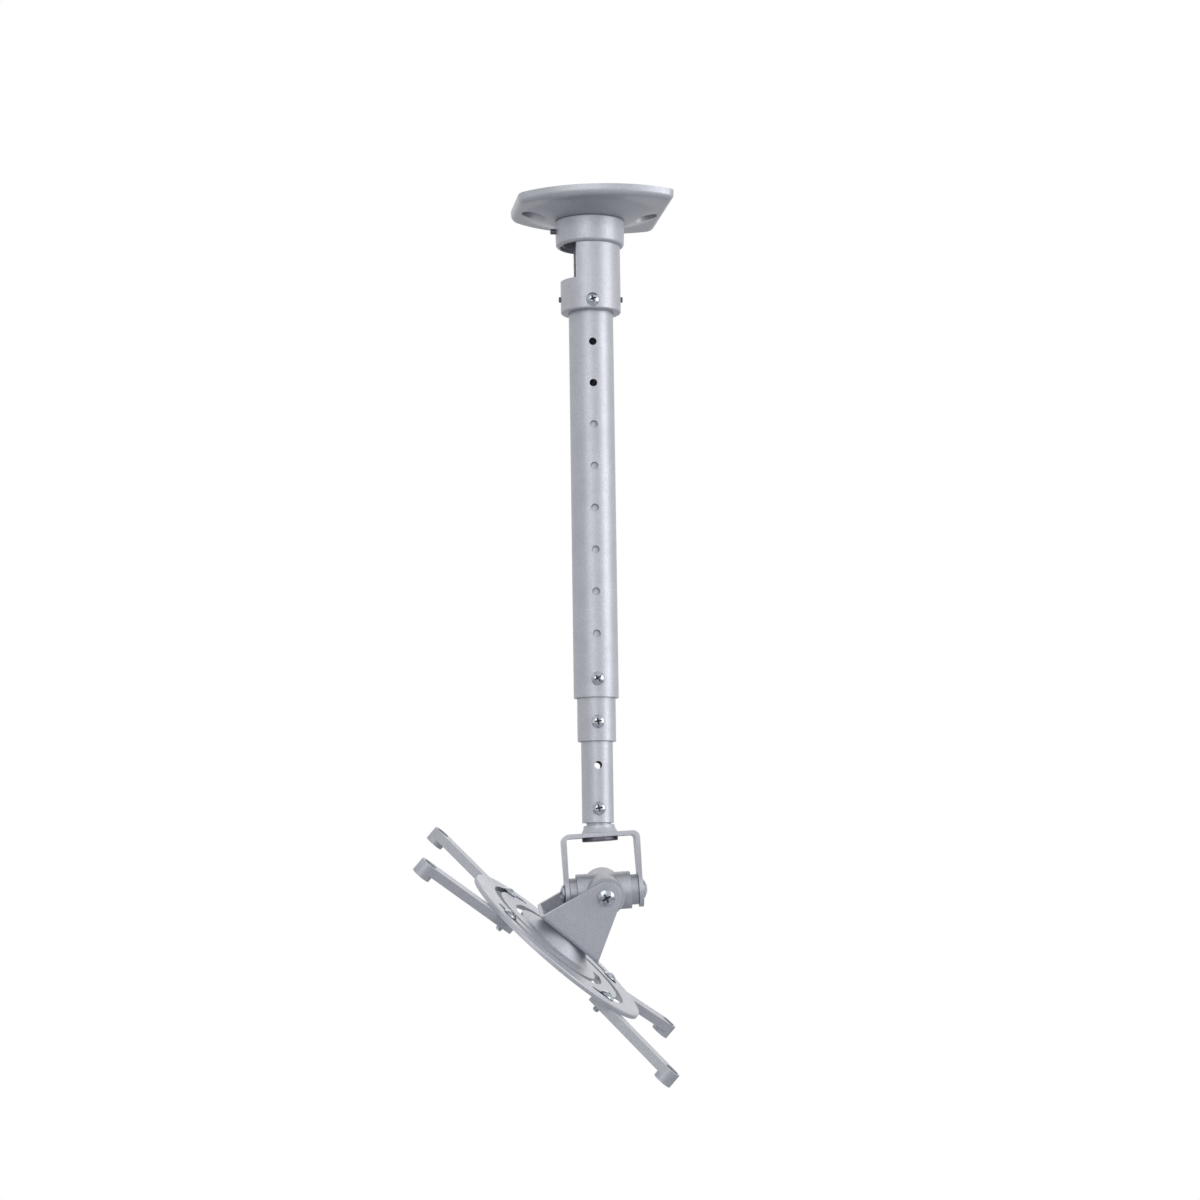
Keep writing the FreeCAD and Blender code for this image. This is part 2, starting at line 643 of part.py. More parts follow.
def tilt_bracket():
    half_length = WEB_LENGTH / 2
    height = WEB_DROP + CHEEK_APEX
    front = -CHEEK_SPREAD / 2
    floor = BRACKET_THICK - WEB_DROP
    outer = Part.makeBox(WEB_LENGTH, CHEEK_SPREAD, height, V(-half_length, front, -WEB_DROP))
    inner = Part.makeBox(WEB_LENGTH, 2 * CHEEK_INSIDE, height, V(-half_length, -CHEEK_INSIDE, floor))
    outer = outer.makeFillet(BRACKET_BEND, bend_edges(outer, X, -WEB_DROP))
    inner = inner.makeFillet(BRACKET_BEND - BRACKET_THICK, bend_edges(inner, X, floor))
    profile = cheek_outline()
    profile.translate(V(0, front, 0))
    bracket = outer.cut(inner).common(profile.extrude(V(0, CHEEK_SPREAD, 0)))
    pivots = rod(PIVOT_SCREW_SHANK + RUNNING, -CHEEK_SPREAD, CHEEK_SPREAD, Y)
    bolt_hole = rod(CENTRE_BOLT_RADIUS + BOLT_HOLE_GAP, -WEB_DROP - PAST, floor + PAST)
    return bracket.cut(pivots).cut(bolt_hole)


# Centre bolt, washer and nut, in the disc's frame
def centre_bolt():
    seat = DISC_DROP - WEB_DROP + BRACKET_THICK
    end = BOSS_ROOF - CENTRE_NUT_HEIGHT - CENTRE_BOLT_END
    head = hexagon(CENTRE_HEX, seat, seat + CENTRE_HEAD_HEIGHT)
    return head.fuse(rod(CENTRE_BOLT_RADIUS, end, seat)).removeSplitter()


def centre_washer():
    top = BOSS_HEIGHT + WASHER_HEIGHT
    washer = rod(WASHER_RADIUS, BOSS_HEIGHT, top)
    return washer.cut(rod(CENTRE_BOLT_RADIUS + BOLT_HOLE_GAP, BOSS_HEIGHT, top))


def centre_nut():
    top = BOSS_ROOF - FACE_PLAY
    bottom = top - CENTRE_NUT_HEIGHT
    return hexagon(CENTRE_HEX, bottom, top).cut(rod(CENTRE_BOLT_RADIUS + THREAD, bottom, top))


# Spider disc: a raised hollow boss and four slots that curl out from it
def slot_centre(index):
    """The point that slot number index is struck from."""
    turn = Rotation(Z, 360 / SLOT_COUNT * index)
    return turn.multVec(V(SLOT_OFFSET_X, SLOT_OFFSET_Y, 0))


def slot_point(index, sweep):
    """The point on a slot's centre line at a sweep from its inner end, in degrees."""
    angle = math.radians(360 / SLOT_COUNT * index + SLOT_START - sweep)
    return slot_centre(index) + V(SLOT_ARC * math.cos(angle), SLOT_ARC * math.sin(angle), 0)


def swirl_slot():
    """The first slot's cutter: a bent bar with round ends."""
    radius = SLOT_WIDTH / 2
    bottom = -DISC_THICK - PAST
    start = slot_point(0, 0)
    across = (start - slot_centre(0)).normalize()
    corners = []
    for along, height in ((-radius, bottom), (radius, bottom), (radius, PAST), (-radius, PAST)):
        corners.append(start + across * along + V(0, 0, height))
    section = Part.Face(Part.makePolygon(corners + corners[:1]))
    bar = section.revolve(slot_centre(0), Z, -SLOT_SWEEP)
    for sweep in (0, SLOT_SWEEP):
        end = rod(radius, bottom, PAST)
        end.translate(slot_point(0, sweep))
        bar = bar.fuse(end)
    return bar.removeSplitter()


def spider_disc():
    disc = rod(DISC_RADIUS, -DISC_THICK, 0)
    disc = disc.makeFillet(DISC_ROUND, circles_at(disc, DISC_RADIUS, 0))
    boss = turned(
        (0, -DISC_THICK / 2),
        (BOSS_BASE, -DISC_THICK / 2),
        (BOSS_BASE, 0),
        (BOSS_TOP, BOSS_HEIGHT),
        (0, BOSS_HEIGHT),
    )
    disc = disc.fuse(boss).removeSplitter()
    brim = circles_at(disc, BOSS_BASE, 0)
    crown = circles_at(disc, BOSS_TOP, BOSS_HEIGHT)
    disc = disc.makeFillet(BOSS_BLEND, brim + crown)
    slope = math.atan2(BOSS_HEIGHT, BOSS_BASE - BOSS_TOP)
    draw = BOSS_WALL * math.tan(slope / 2)
    roof_radius = BOSS_TOP - draw
    mouth_radius = roof_radius + (BOSS_ROOF + DISC_THICK) / math.tan(slope)
    hollow = turned(
        (0, BOSS_ROOF),
        (roof_radius, BOSS_ROOF),
        (mouth_radius, -DISC_THICK),
        (0, -DISC_THICK),
    )
    disc = disc.cut(hollow)
    disc = disc.cut(rod(CENTRE_BOLT_RADIUS + RUNNING, 0, BOSS_HEIGHT + PAST))
    slot = swirl_slot()
    step = 360 / SLOT_COUNT
    return disc.cut([moved(slot, Placement(V(), Rotation(Z, step * n))) for n in range(SLOT_COUNT)])


# Arms: a cast channel with a cup at its tip, in a frame at the arm screw under the disc
def bar_outline(half_width, start, end, z):
    """A plan outline along X with a square tail and a round tip centred on end."""
    tail = [
        V(end, half_width, z),
        V(start, half_width, z),
        V(start, -half_width, z),
        V(end, -half_width, z),
    ]
    tip = Part.Arc(tail[-1], V(end + half_width, 0, z), tail[0]).toShape()
    return Part.Face(Part.Wire(Part.makePolygon(tail).Edges + [tip]))


def arm():
    half = ARM_WIDTH / 2
    inside = half - ARM_WALL
    body = bar_outline(half, -ARM_TAIL, ARM_LENGTH, -ARM_HEIGHT).extrude(V(0, 0, ARM_HEIGHT))
    tail = [
        edge for edge in body.Edges
        if edge.BoundBox.XMax < 0.01 - ARM_TAIL and edge.BoundBox.YLength < 0.01
    ]
    body = body.makeFillet(ARM_TAIL_ROUND, tail)
    cup = Part.makeCylinder(half, CUP_DEPTH, V(ARM_LENGTH, 0, -CUP_DEPTH))
    cup = cup.makeFillet(CUP_ROUND, circles_at(cup, half, -CUP_DEPTH))
    body = body.fuse(cup).removeSplitter()
    top = [edge for edge in body.Edges if edge.BoundBox.ZMin > -0.01]
    body = body.makeFillet(ARM_ROUND, top)
    pocket_end = ARM_LENGTH - half - inside
    pocket = bar_outline(inside, ARM_WALL - ARM_TAIL, pocket_end, -ARM_HEIGHT)
    body = body.cut(pocket.extrude(V(0, 0, ARM_HEIGHT - ARM_WEB)))
    recess = Part.makeCylinder(inside, CUP_DEPTH, V(ARM_LENGTH, 0, CUP_FLOOR - CUP_DEPTH))
    cup_hole = Part.makeCylinder(CUP_HOLE, CUP_DEPTH, V(ARM_LENGTH, 0, -CUP_DEPTH))
    return body.cut([recess, cup_hole, rod(ARM_SCREW_SHANK + RUNNING, -ARM_HEIGHT, PAST)])


def arm_screw():
    length = DISC_THICK + ARM_HEIGHT + ARM_SCREW_END
    return domed_screw(ARM_SCREW_HEAD, ARM_SCREW_HEAD_HEIGHT, ARM_SCREW_SHANK, length)


def arm_nut():
    top = -ARM_WEB
    bottom = top - ARM_NUT_HEIGHT
    return hexagon(ARM_NUT_HEX, bottom, top).cut(rod(ARM_SCREW_SHANK + THREAD, bottom, top))


def carriage_frame(index):
    """The frame of a screw in its slot, at the disc's top face."""
    return DISC * Placement(slot_point(index, CARRIAGE_SWEEPS[index]), Rotation())


def arm_frame(index):
    """The frame of an arm under the disc, with +X along the arm."""
    turn = Rotation(Z, ARM_DIRECTIONS[index])
    return carriage_frame(index) * Placement(V(0, 0, -DISC_THICK), turn)


def pieces():
    """Every piece of the mount by name, where it sits in the assembly."""
    made = {
        "ceiling_plate": ceiling_plate(),
        "swivel_collar": swivel_collar(),
        "collar_set_screw": collar_set_screw(),
        "pole_socket": moved(pole_socket(), POLE),
        "socket_screws": moved(socket_screws(), POLE),
        "outer_tube": moved(outer_tube(), POLE),
        "outer_lock_screw": moved(outer_lock_screw(), POLE),
        "middle_tube": moved(middle_tube(), POLE),
        "middle_lock_screw": moved(middle_lock_screw(), POLE),
        "inner_tube": moved(inner_tube(), POLE),
        "foot_screw": moved(foot_screw(), POLE),
        "swivel_plug": moved(swivel_plug(), HEAD),
        "swivel_bolt": moved(swivel_bolt(), HEAD),
        "bail": moved(bail(), HEAD),
        "cross_block": moved(cross_block(), BLOCK),
        "side_bush_left": moved(side_bush(-1), BLOCK),
        "side_bush_right": moved(side_bush(1), BLOCK),
        "side_screw_left": moved(side_screw(-1), BLOCK),
        "side_screw_right": moved(side_screw(1), BLOCK),
        "tilt_screw_front": moved(tilt_screw(-1), BLOCK),
        "tilt_screw_rear": moved(tilt_screw(1), BLOCK),
        "tilt_bracket": moved(tilt_bracket(), BRACKET),
        "centre_bolt": moved(centre_bolt(), DISC),
        "centre_washer": moved(centre_washer(), DISC),
        "centre_nut": moved(centre_nut(), DISC),
        "spider_disc": moved(spider_disc(), DISC),
    }
    for index in range(SLOT_COUNT):
        number = index + 1
        made[f"arm_screw_{number}"] = moved(arm_screw(), carriage_frame(index))
        made[f"arm_nut_{number}"] = moved(arm_nut(), arm_frame(index))
        made[f"arm_{number}"] = moved(arm(), arm_frame(index))
    return made


def main():
    os.makedirs("parts", exist_ok=True)
    for node, shape in pieces().items():
        shape.exportStep(f"parts/{node}.step")
        print(node, "solids", len(shape.Solids), "valid", shape.isValid(), "volume", round(shape.Volume, 1))


main()
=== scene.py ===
# %% [markdown]
# # A projector ceiling mount
# The real mount is a pressed ceiling plate, three telescopic tubes and a tilting head that carries
# a slotted disc with four arms. The model that is loaded here already has every solid piece in its
# place, in metres, with the ceiling at z = 0. This lesson gives the pieces their finishes, replaces
# the ones that need finer forms, and then sets up the light and the camera.

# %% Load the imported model
import json
import math

import bmesh
import bpy
from mathutils import Matrix, Vector


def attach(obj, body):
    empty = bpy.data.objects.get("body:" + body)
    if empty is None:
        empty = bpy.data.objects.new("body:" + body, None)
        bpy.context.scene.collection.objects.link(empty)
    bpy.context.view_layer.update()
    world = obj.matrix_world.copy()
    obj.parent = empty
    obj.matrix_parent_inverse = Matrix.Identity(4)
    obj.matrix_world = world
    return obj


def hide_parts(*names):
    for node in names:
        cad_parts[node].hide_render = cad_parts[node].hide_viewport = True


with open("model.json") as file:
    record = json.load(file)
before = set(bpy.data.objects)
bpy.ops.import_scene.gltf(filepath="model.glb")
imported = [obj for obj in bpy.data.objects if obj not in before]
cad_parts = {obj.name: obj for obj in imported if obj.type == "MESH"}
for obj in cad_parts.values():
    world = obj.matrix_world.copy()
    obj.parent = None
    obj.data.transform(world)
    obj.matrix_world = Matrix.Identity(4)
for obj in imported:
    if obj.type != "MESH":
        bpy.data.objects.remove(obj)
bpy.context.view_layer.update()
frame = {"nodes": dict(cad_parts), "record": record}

nodes = frame["nodes"]

# %% [markdown]
# ## Sizes are read in millimetres
# Drawings of such mounts are in millimetres and Blender works in metres. One constant turns the one
# into the other, so that every size below can be compared with a ruler.

# %% Millimetres
MM = 0.001


def place(x=0.0, y=0.0, z=0.0):
    """A move, given in millimetres."""
    return Matrix.Translation((x * MM, y * MM, z * MM))


def turn(degrees, axis):
    """A turn about one of the axes."""
    return Matrix.Rotation(math.radians(degrees), 4, axis)


# %% [markdown]
# ## The frames that the pieces hang in
# On the real mount each part hangs from the one above, so a tilt high up carries everything below.
# Multiplying the moves and turns in that order gives the same chain: the pole, the leaning head,
# the cross block, the bracket and the disc. The printed points can be checked against the joints.

# %% Frames
FOOT_DROP = 437.0
PIVOT_DROP = 58.2
DISC_DROP = 49.1
DISC_SHEET = 3.3

POLE = turn(-4, "Z")
HEAD = POLE @ place(z=-FOOT_DROP) @ turn(-3.24, "Y")
BLOCK = HEAD @ place(z=-PIVOT_DROP) @ turn(13.9, "X")
BRACKET = BLOCK @ turn(43.5, "Y")
DISC = BRACKET @ place(z=-DISC_DROP)

ARM_COUNT = 4
SLOT_RADIUS = 47.3
SLOT_HALF_WIDTH = 3.0
SLOT_START = 9.5
SLOT_SWEEP = 163.2
SLOT_CENTRE = Vector((-11.65, -7.78))
CARRIAGE_SWEEPS = (148.8, 146.5, 157.1, 143.1)
ARM_DIRECTIONS = (199.7, -41.8, 30.2, 141.8)


def carriage_frame(index):
    """The frame of an arm's screw, at the top face of the disc."""
    centre = turn(90 * index, "Z").to_2x2() @ SLOT_CENTRE
    angle = math.radians(90 * index + SLOT_START - CARRIAGE_SWEEPS[index])
    x = centre.x + SLOT_RADIUS * math.cos(angle)
    y = centre.y + SLOT_RADIUS * math.sin(angle)
    return DISC @ place(x, y)


def arm_frame(index):
    """The frame of an arm under the disc, with +X along the arm."""
    return carriage_frame(index) @ place(z=-DISC_SHEET) @ turn(ARM_DIRECTIONS[index], "Z")


print("pivot", BLOCK.translation, "disc", DISC.translation)
for index in range(ARM_COUNT):
    print("arm", index + 1, arm_frame(index).translation)

# %% [markdown]
# ## Colours and nodes
# Colours are written as the hex values that a picture editor shows. Blender's shaders work with
# linear light, so one function turns the one into the other. A second one adds a shader node with
# its settings and its links in a single line.


# %% Colour and node helpers
def tone(code):
    """A linear colour from an sRGB hex value."""
    channels = [int(code[start:start + 2], 16) / 255 for start in (1, 3, 5)]
    linear = [c / 12.92 if c <= 0.04045 else ((c + 0.055) / 1.055) ** 2.4 for c in channels]
    return (*linear, 1.0)


def add(tree, kind, links=None, **settings):
    """Adds a node, sets its options and sockets, and links its sockets to other nodes' outputs."""
    made = tree.nodes.new(kind)
    for name, value in settings.items():
        if hasattr(made, name):
            setattr(made, name, value)
        else:
            made.inputs[name.replace("_", " ")].default_value = value
    for name, source in (links or {}).items():
        socket = made.inputs[name]
        tree.links.new(source, socket)
    return made


def new_material(name):
    """An empty material with an output, ready for its shader."""
    material = bpy.data.materials.new(name)
    material.use_nodes = True
    material.node_tree.nodes.clear()
    output = add(material.node_tree, "ShaderNodeOutputMaterial")
    return material, material.node_tree, output


print("mid grey", tone("#808080"))

# %% [markdown]
# ## Silver powder coat
# The plate, the pole, the bail, the bracket and the disc are steel under a satin powder coat. The
# powder melts into a fine pebbled skin, and the aluminium flakes in it glint a little. A noise gives
# the pebbles, and small cells change how bright each flake is. The real pebbles are nearer to 0.3 mm,
# which a picture this small can't show, so they are drawn twice as large, and larger on the castings.


# %% Powder coat
FLAKE_MM = 0.45
MOTTLE_MM = 18


def powder_coat(name, colour, shade, pebble_mm, pebble_depth_mm, rough):
    """Satin powder coat with flakes: mostly paint, slightly metallic."""
    material, tree, output = new_material(name)
    where = add(tree, "ShaderNodeTexCoord").outputs["Object"]
    pebbles = add(tree, "ShaderNodeTexNoise", {"Vector": where}, Scale=1 / (pebble_mm * MM), Detail=2.0)
    flakes = add(tree, "ShaderNodeTexVoronoi", {"Vector": where}, Scale=1 / (FLAKE_MM * MM))
    glint = add(tree, "ShaderNodeSeparateColor", {"Color": flakes.outputs["Color"]})
    mottle = add(tree, "ShaderNodeTexNoise", {"Vector": where}, Scale=1 / (MOTTLE_MM * MM), Detail=3.0)
    blend = add(
        tree, "ShaderNodeMath",
        {0: glint.outputs["Red"], 1: mottle.outputs["Fac"]},
        operation="MULTIPLY",
    )
    ramp = add(tree, "ShaderNodeValToRGB", {"Fac": blend.outputs["Value"]})
    ramp.color_ramp.elements[0].position = 0.05
    ramp.color_ramp.elements[0].color = tone(shade)
    ramp.color_ramp.elements[1].position = 0.55
    ramp.color_ramp.elements[1].color = tone(colour)
    gloss = add(
        tree, "ShaderNodeMapRange",
        {"Value": glint.outputs["Green"]},
        To_Min=rough - 0.08, To_Max=rough + 0.08,
    )
    bump = add(
        tree, "ShaderNodeBump",
        {"Height": pebbles.outputs["Fac"]},
        Strength=0.5, Distance=pebble_depth_mm * MM,
    )
    shader = add(
        tree, "ShaderNodeBsdfPrincipled",
        {
            "Base Color": ramp.outputs["Color"],
            "Roughness": gloss.outputs["Result"],
            "Normal": bump.outputs["Normal"],
        },
        Metallic=0.5,
    )
    tree.links.new(shader.outputs["BSDF"], output.inputs["Surface"])
    return material


silver_coat = powder_coat("silver powder coat", "#C3C5CB", "#B0B2B9", 0.6, 0.03, 0.46)
cast_coat = powder_coat("powder coat over a casting", "#BEC0C6", "#ABADB4", 0.9, 0.05, 0.48)
print(silver_coat.name, "and", cast_coat.name)

# %% [markdown]
# ## Bright zinc and phosphated steel
# The cross-head screws are zinc plated: a bright bluish metal with soft, cloudy reflections. Inside
# the pressed cross the zinc is rougher and painted darker, which is painted shade. The big bolt under
# the bail, the collar's small screw and the two at the socket's sides are phosphated, which is dark
# grey and dull. All of these are metals, and only their colour and roughness differ.


# %% Plated screws
CLOUD_MM = 2.5
TURNING_MARK_MM = 0.35


def plated_steel(name, colour, cloud, rough, spread):
    """A plated screw: cloudy reflections with faint turning marks."""
    material, tree, output = new_material(name)
    where = add(tree, "ShaderNodeTexCoord").outputs["Object"]
    clouds = add(tree, "ShaderNodeTexNoise", {"Vector": where}, Scale=1 / (CLOUD_MM * MM), Detail=4.0)
    colours = add(tree, "ShaderNodeValToRGB", {"Fac": clouds.outputs["Fac"]})
    colours.color_ramp.elements[0].position = 0.35
    colours.color_ramp.elements[0].color = tone(cloud)
    colours.color_ramp.elements[1].position = 0.65
    colours.color_ramp.elements[1].color = tone(colour)
    gloss = add(
        tree, "ShaderNodeMapRange",
        {"Value": clouds.outputs["Fac"]},
        To_Min=rough - spread, To_Max=rough + spread,
    )
    marks = add(
        tree, "ShaderNodeTexNoise",
        {"Vector": where},
        Scale=1 / (TURNING_MARK_MM * MM), Detail=2.0,
    )
    bump = add(
        tree, "ShaderNodeBump",
        {"Height": marks.outputs["Fac"]},
        Strength=0.25, Distance=0.03 * MM,
    )
    shader = add(
        tree, "ShaderNodeBsdfPrincipled",
        {
            "Base Color": colours.outputs["Color"],
            "Roughness": gloss.outputs["Result"],
            "Normal": bump.outputs["Normal"],
        },
        Metallic=1.0,
    )
    tree.links.new(shader.outputs["BSDF"], output.inputs["Surface"])
    return material


bright_zinc = plated_steel("bright zinc plate", "#B6BCC2", "#8C9299", 0.22, 0.06)
# Rougher zinc painted darker: painted shade for the insides of the screws' pressed crosses.
recess_shade_zinc = plated_steel("zinc painted with recess shade", "#6F7478", "#4C5054", 0.5, 0.08)
phosphated = plated_steel("phosphated steel", "#6C6872", "#5A5761", 0.5, 0.08)
print(bright_zinc.name, "and", phosphated.name)

# %% [markdown]
# ## Each piece gets its finish
# The solids that came with the model keep their shapes and only change material.

# %% Finishes by piece
ZINC_PIECES = ["centre_bolt", "centre_washer"]
ZINC_PIECES += [name for name in nodes if "screw" in name or "nut" in name]
CAST_PIECES = ["cross_block", "side_bush_left", "side_bush_right", "arm_1", "arm_2", "arm_3", "arm_4"]
DARK_PIECES = ["swivel_bolt", "collar_set_screw"]


def finish(piece, *materials):
    """Gives a piece its material, and more of them where some of its faces ask for one."""
    for material in materials:
        piece.data.materials.append(material)


for name, piece in nodes.items():
    piece.data.materials.clear()
    if name in DARK_PIECES:
        finish(piece, phosphated)
    elif name in CAST_PIECES:
        finish(piece, cast_coat)
    elif name in ZINC_PIECES:
        finish(piece, bright_zinc)
    else:
        finish(piece, silver_coat)
print("finished", len(nodes), "pieces")

# %% [markdown]
# ## Making finer pieces
# Metal pieces are cut, turned and folded from simple blanks, so this lesson does the same: a blank is
# a cylinder, a box or a spun section, blanks are joined or cut with Booleans, and at the end the sharp
# edges are eased with a small bevel. A Weighted Normal modifier then keeps the flats flat.


# %% Blanks
def blank(name, shape):
    """Turns a bmesh into an object in the scene, with its faces pointing outwards."""
    bmesh.ops.remove_doubles(shape, verts=shape.verts, dist=0.005 * MM)
    bmesh.ops.recalc_face_normals(shape, faces=shape.faces)
    mesh = bpy.data.meshes.new(name)
    shape.to_mesh(mesh)
    shape.free()
    made = bpy.data.objects.new(name, mesh)
    bpy.context.scene.collection.objects.link(made)
    return made


AXES = {
    "X": Matrix.Rotation(math.pi / 2, 4, "Y"),
    "Y": Matrix.Rotation(-math.pi / 2, 4, "X"),
    "Z": Matrix(),
}


def rod(radius, start, end, axis="Z", at=(0, 0, 0), segments=48, end_radius=None):
    """A round bar along an axis, from start to end, moved to a point."""
    shape = bmesh.new()
    last = radius if end_radius is None else end_radius
    where = place(*at) @ AXES[axis] @ place(z=(start + end) / 2)
    bmesh.ops.create_cone(
        shape, cap_ends=True, segments=segments, radius1=radius * MM, radius2=last * MM,
        depth=(end - start) * MM, matrix=where,
    )
    return blank("rod", shape)


def box(low, high):
    """A box between two corners."""
    shape = bmesh.new()
    bmesh.ops.create_cube(shape, size=MM)
    size = [top - bottom for bottom, top in zip(low, high)]
    middle = [(top + bottom) / 2 for bottom, top in zip(low, high)]
    bmesh.ops.scale(shape, verts=shape.verts, vec=size)
    bmesh.ops.translate(shape, verts=shape.verts, vec=Vector(middle) * MM)
    return blank("box", shape)


def turned(points, segments=96, rounds=None, steps=5):
    """A piece turned about Z from its half section: (radius, height) corners, some of them rounded."""
    shape = bmesh.new()
    corners = [shape.verts.new((radius * MM, 0, height * MM)) for radius, height in points]
    shape.faces.new(corners)
    for index, radius in (rounds or {}).items():
        corner = corners[index]
        first, second = [edge.other_vert(corner).co - corner.co for edge in corner.link_edges]
        reach = radius * MM * math.tan((math.pi - first.angle(second)) / 2)
        bmesh.ops.bevel(
            shape, geom=[corner], offset=reach, offset_type="OFFSET", segments=steps,
            profile=0.5, affect="VERTICES", material=-1,
        )
    bmesh.ops.delete(shape, geom=list(shape.faces), context="FACES_ONLY")
    bmesh.ops.spin(
        shape, geom=list(shape.edges), cent=(0, 0, 0), axis=(0, 0, 1), angle=math.tau,
        steps=segments, use_merge=True,
    )
    return blank("turned", shape)


def swept(corners, angle, steps, start=0.0, drop=0.0):
    """A section of (radius, height) corners wound about Z, and lowered by drop at every step."""
    shape = bmesh.new()
    section = shape.faces.new([shape.verts.new((x * MM, 0, z * MM)) for x, z in corners])
    bmesh.ops.rotate(shape, verts=shape.verts, matrix=Matrix.Rotation(start, 3, "Z"))
    bmesh.ops.spin(
        shape, geom=[section] + list(section.edges) + list(section.verts), cent=(0, 0, 0),
        axis=(0, 0, 1), dvec=(0, 0, -drop * MM), angle=angle, steps=steps,
    )
    return blank("swept", shape)


def wrapped(*pieces):
    """The tightest skin round several blanks, which are used up."""
    shape = bmesh.new()
    for piece in pieces:
        for vertex in piece.data.vertices:
            shape.verts.new(vertex.co)
        bpy.data.objects.remove(piece)
    bmesh.ops.convex_hull(shape, input=shape.verts)
    inside = [vertex for vertex in shape.verts if not vertex.link_faces]
    bmesh.ops.delete(shape, geom=inside, context="VERTS")
    bmesh.ops.dissolve_limit(
        shape, angle_limit=math.radians(0.5), verts=shape.verts, edges=shape.edges,
    )
    return blank("wrapped", shape)


def joined(*pieces):
    """Puts several blanks into one mesh."""
    shape = bmesh.new()
    for piece in pieces:
        shape.from_mesh(piece.data)
        bpy.data.objects.remove(piece)
    return blank("joined", shape)


def combined(piece, tools, operation="DIFFERENCE"):
    """Cuts tools out of a piece, or joins or keeps what they share, and uses the tools up."""
    for tool in tools:
        step = piece.modifiers.new(operation, "BOOLEAN")
        step.operation = operation
        step.solver = "EXACT"
        step.object = tool
    graph = bpy.context.evaluated_depsgraph_get()
    mesh = bpy.data.meshes.new_from_object(piece.evaluated_get(graph))
    piece.modifiers.clear()
    piece.data = mesh
    for tool in tools:
        bpy.data.objects.remove(tool)
    return piece


def eased(piece, width, segments=2, angle=30):
    """Rounds every edge that is sharper than an angle."""
    shape = bmesh.new()
    shape.from_mesh(piece.data)
    bmesh.ops.remove_doubles(shape, verts=shape.verts, dist=0.01 * MM)
    bmesh.ops.dissolve_degenerate(shape, edges=shape.edges, dist=0.01 * MM)
    sharp = [
        edge for edge in shape.edges
        if len(edge.link_faces) == 2 and edge.calc_face_angle(0) > math.radians(angle)
    ]
    bmesh.ops.bevel(
        shape, geom=sharp, offset=width * MM, offset_type="OFFSET", segments=segments,
        profile=0.5, affect="EDGES", clamp_overlap=True, material=-1,
    )
    shape.to_mesh(piece.data)
    shape.free()
    return piece


def volume(mesh):
    """The volume inside a mesh in cubic centimetres."""
    shape = bmesh.new()
    shape.from_mesh(mesh)
    inside = shape.calc_volume(signed=True)
    shape.free()
    return inside / (10 * MM) ** 3


def fitted(piece, node, where, *materials):
    """Puts a finished piece where the model has it, and lets it ride in place of that node."""
    piece.name = node + "_fine"
    piece.data.name = piece.name
    piece.data.transform(where)
    for face in piece.data.polygons:
        face.use_smooth = True
    piece.modifiers.new("even shading", "WEIGHTED_NORMAL").keep_sharp = True
    finish(piece, *materials)
    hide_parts(node)
    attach(piece, BODY_OF[node])
    made, stated = volume(piece.data), volume(nodes[node].data)
    print(f"{piece.name}: {len(piece.data.polygons)} faces, {made:.3f} cm3 for {stated:.3f}")


record = frame["record"]
BODY_OF = {name: body for body, members in record["behaviour"]["bodies"].items() for name in members}

# %% [markdown]
# ## Cross-head screws
# Every screw that shows is a pan-head machine screw, pressed with a cross recess. The head is a dome
# on a short upright edge, which is rounded where it meets the part. Its cross has sloping walls and a
# deeper middle, so that a driver centres itself, and here two tapered bars and a cone cut that shape.
# On the real ones the recess looks dark only because light hardly reaches into it, and here its faces
# get a darker zinc as painted shade.


# %% Screw helper
def height_on(ball, top, radius):
    """The height of a dome's surface, given its ball's radius and its top."""
    return top - ball + math.sqrt(ball ** 2 - radius ** 2)


def cross_head_screw(head_radius, head_height, shank_radius, length, upright=0.35, cross=0.58):
    """A screw whose head stands on z = 0, with its upright edge and cross as shares of the head."""
    edge = upright * head_height
    crown = head_height - edge
    ball = (head_radius ** 2 + crown ** 2) / (2 * crown)
    radii = [head_radius * share for share in (0.2, 0.4, 0.6, 0.75, 0.87, 0.95)]
    rise = [(radius, height_on(ball, head_height, radius)) for radius in radii]
    section = [
        (0, -length), (shank_radius - 0.3, -length), (shank_radius, 0.3 - length), (shank_radius, 0),
        (head_radius - 0.45, 0), (head_radius - 0.12, 0.15), (head_radius, 0.45), (head_radius, edge),
        *reversed(rise), (0, head_height),
    ]
    screw = turned(section, 48)
    reach = cross * head_radius
    half = 0.2 * reach
    floor = 0.3 * head_height
    point = floor - 0.3 * head_height
    tools = [rod(0.3 * half, point, head_height, segments=24, end_radius=2.4 * half)]
    for quarter in (0, 90):
        bar = wrapped(
            box((-0.7 * reach, -0.7 * half, floor), (0.7 * reach, 0.7 * half, floor + 0.1)),
            box((-reach, -half, head_height), (reach, half, head_height + 1)),
        )
        bar.data.transform(turn(quarter, "Z"))
        tools.append(bar)
    combined(screw, tools)
    eased(screw, 0.05, segments=1, angle=28)
    # Faces inside the cross get the second material, the darker zinc that paints the recess's shade.
    for face in screw.data.polygons:
        x, y, z = face.center / MM
        dome = height_on(ball, head_height, math.hypot(x, y))
        if math.hypot(x, y) < reach and z < dome - 0.15 and z > floor - 0.4 * head_height:
            face.material_index = 1
    return screw


def on_side(origin, axis, turned_by):
    """A frame at a point whose +Z lies along an axis, turned about it."""
    lean = Vector((0, 0, 1)).rotation_difference(Vector(axis)).to_matrix().to_4x4()
    return place(*origin) @ lean @ turn(turned_by, "Z")


# %% Pole screws
TUBE_RADII = {"outer": 16.0, "middle": 13.7, "inner": 11.25}
POLE_SCREW = (4.7, 3.0, 2.45)

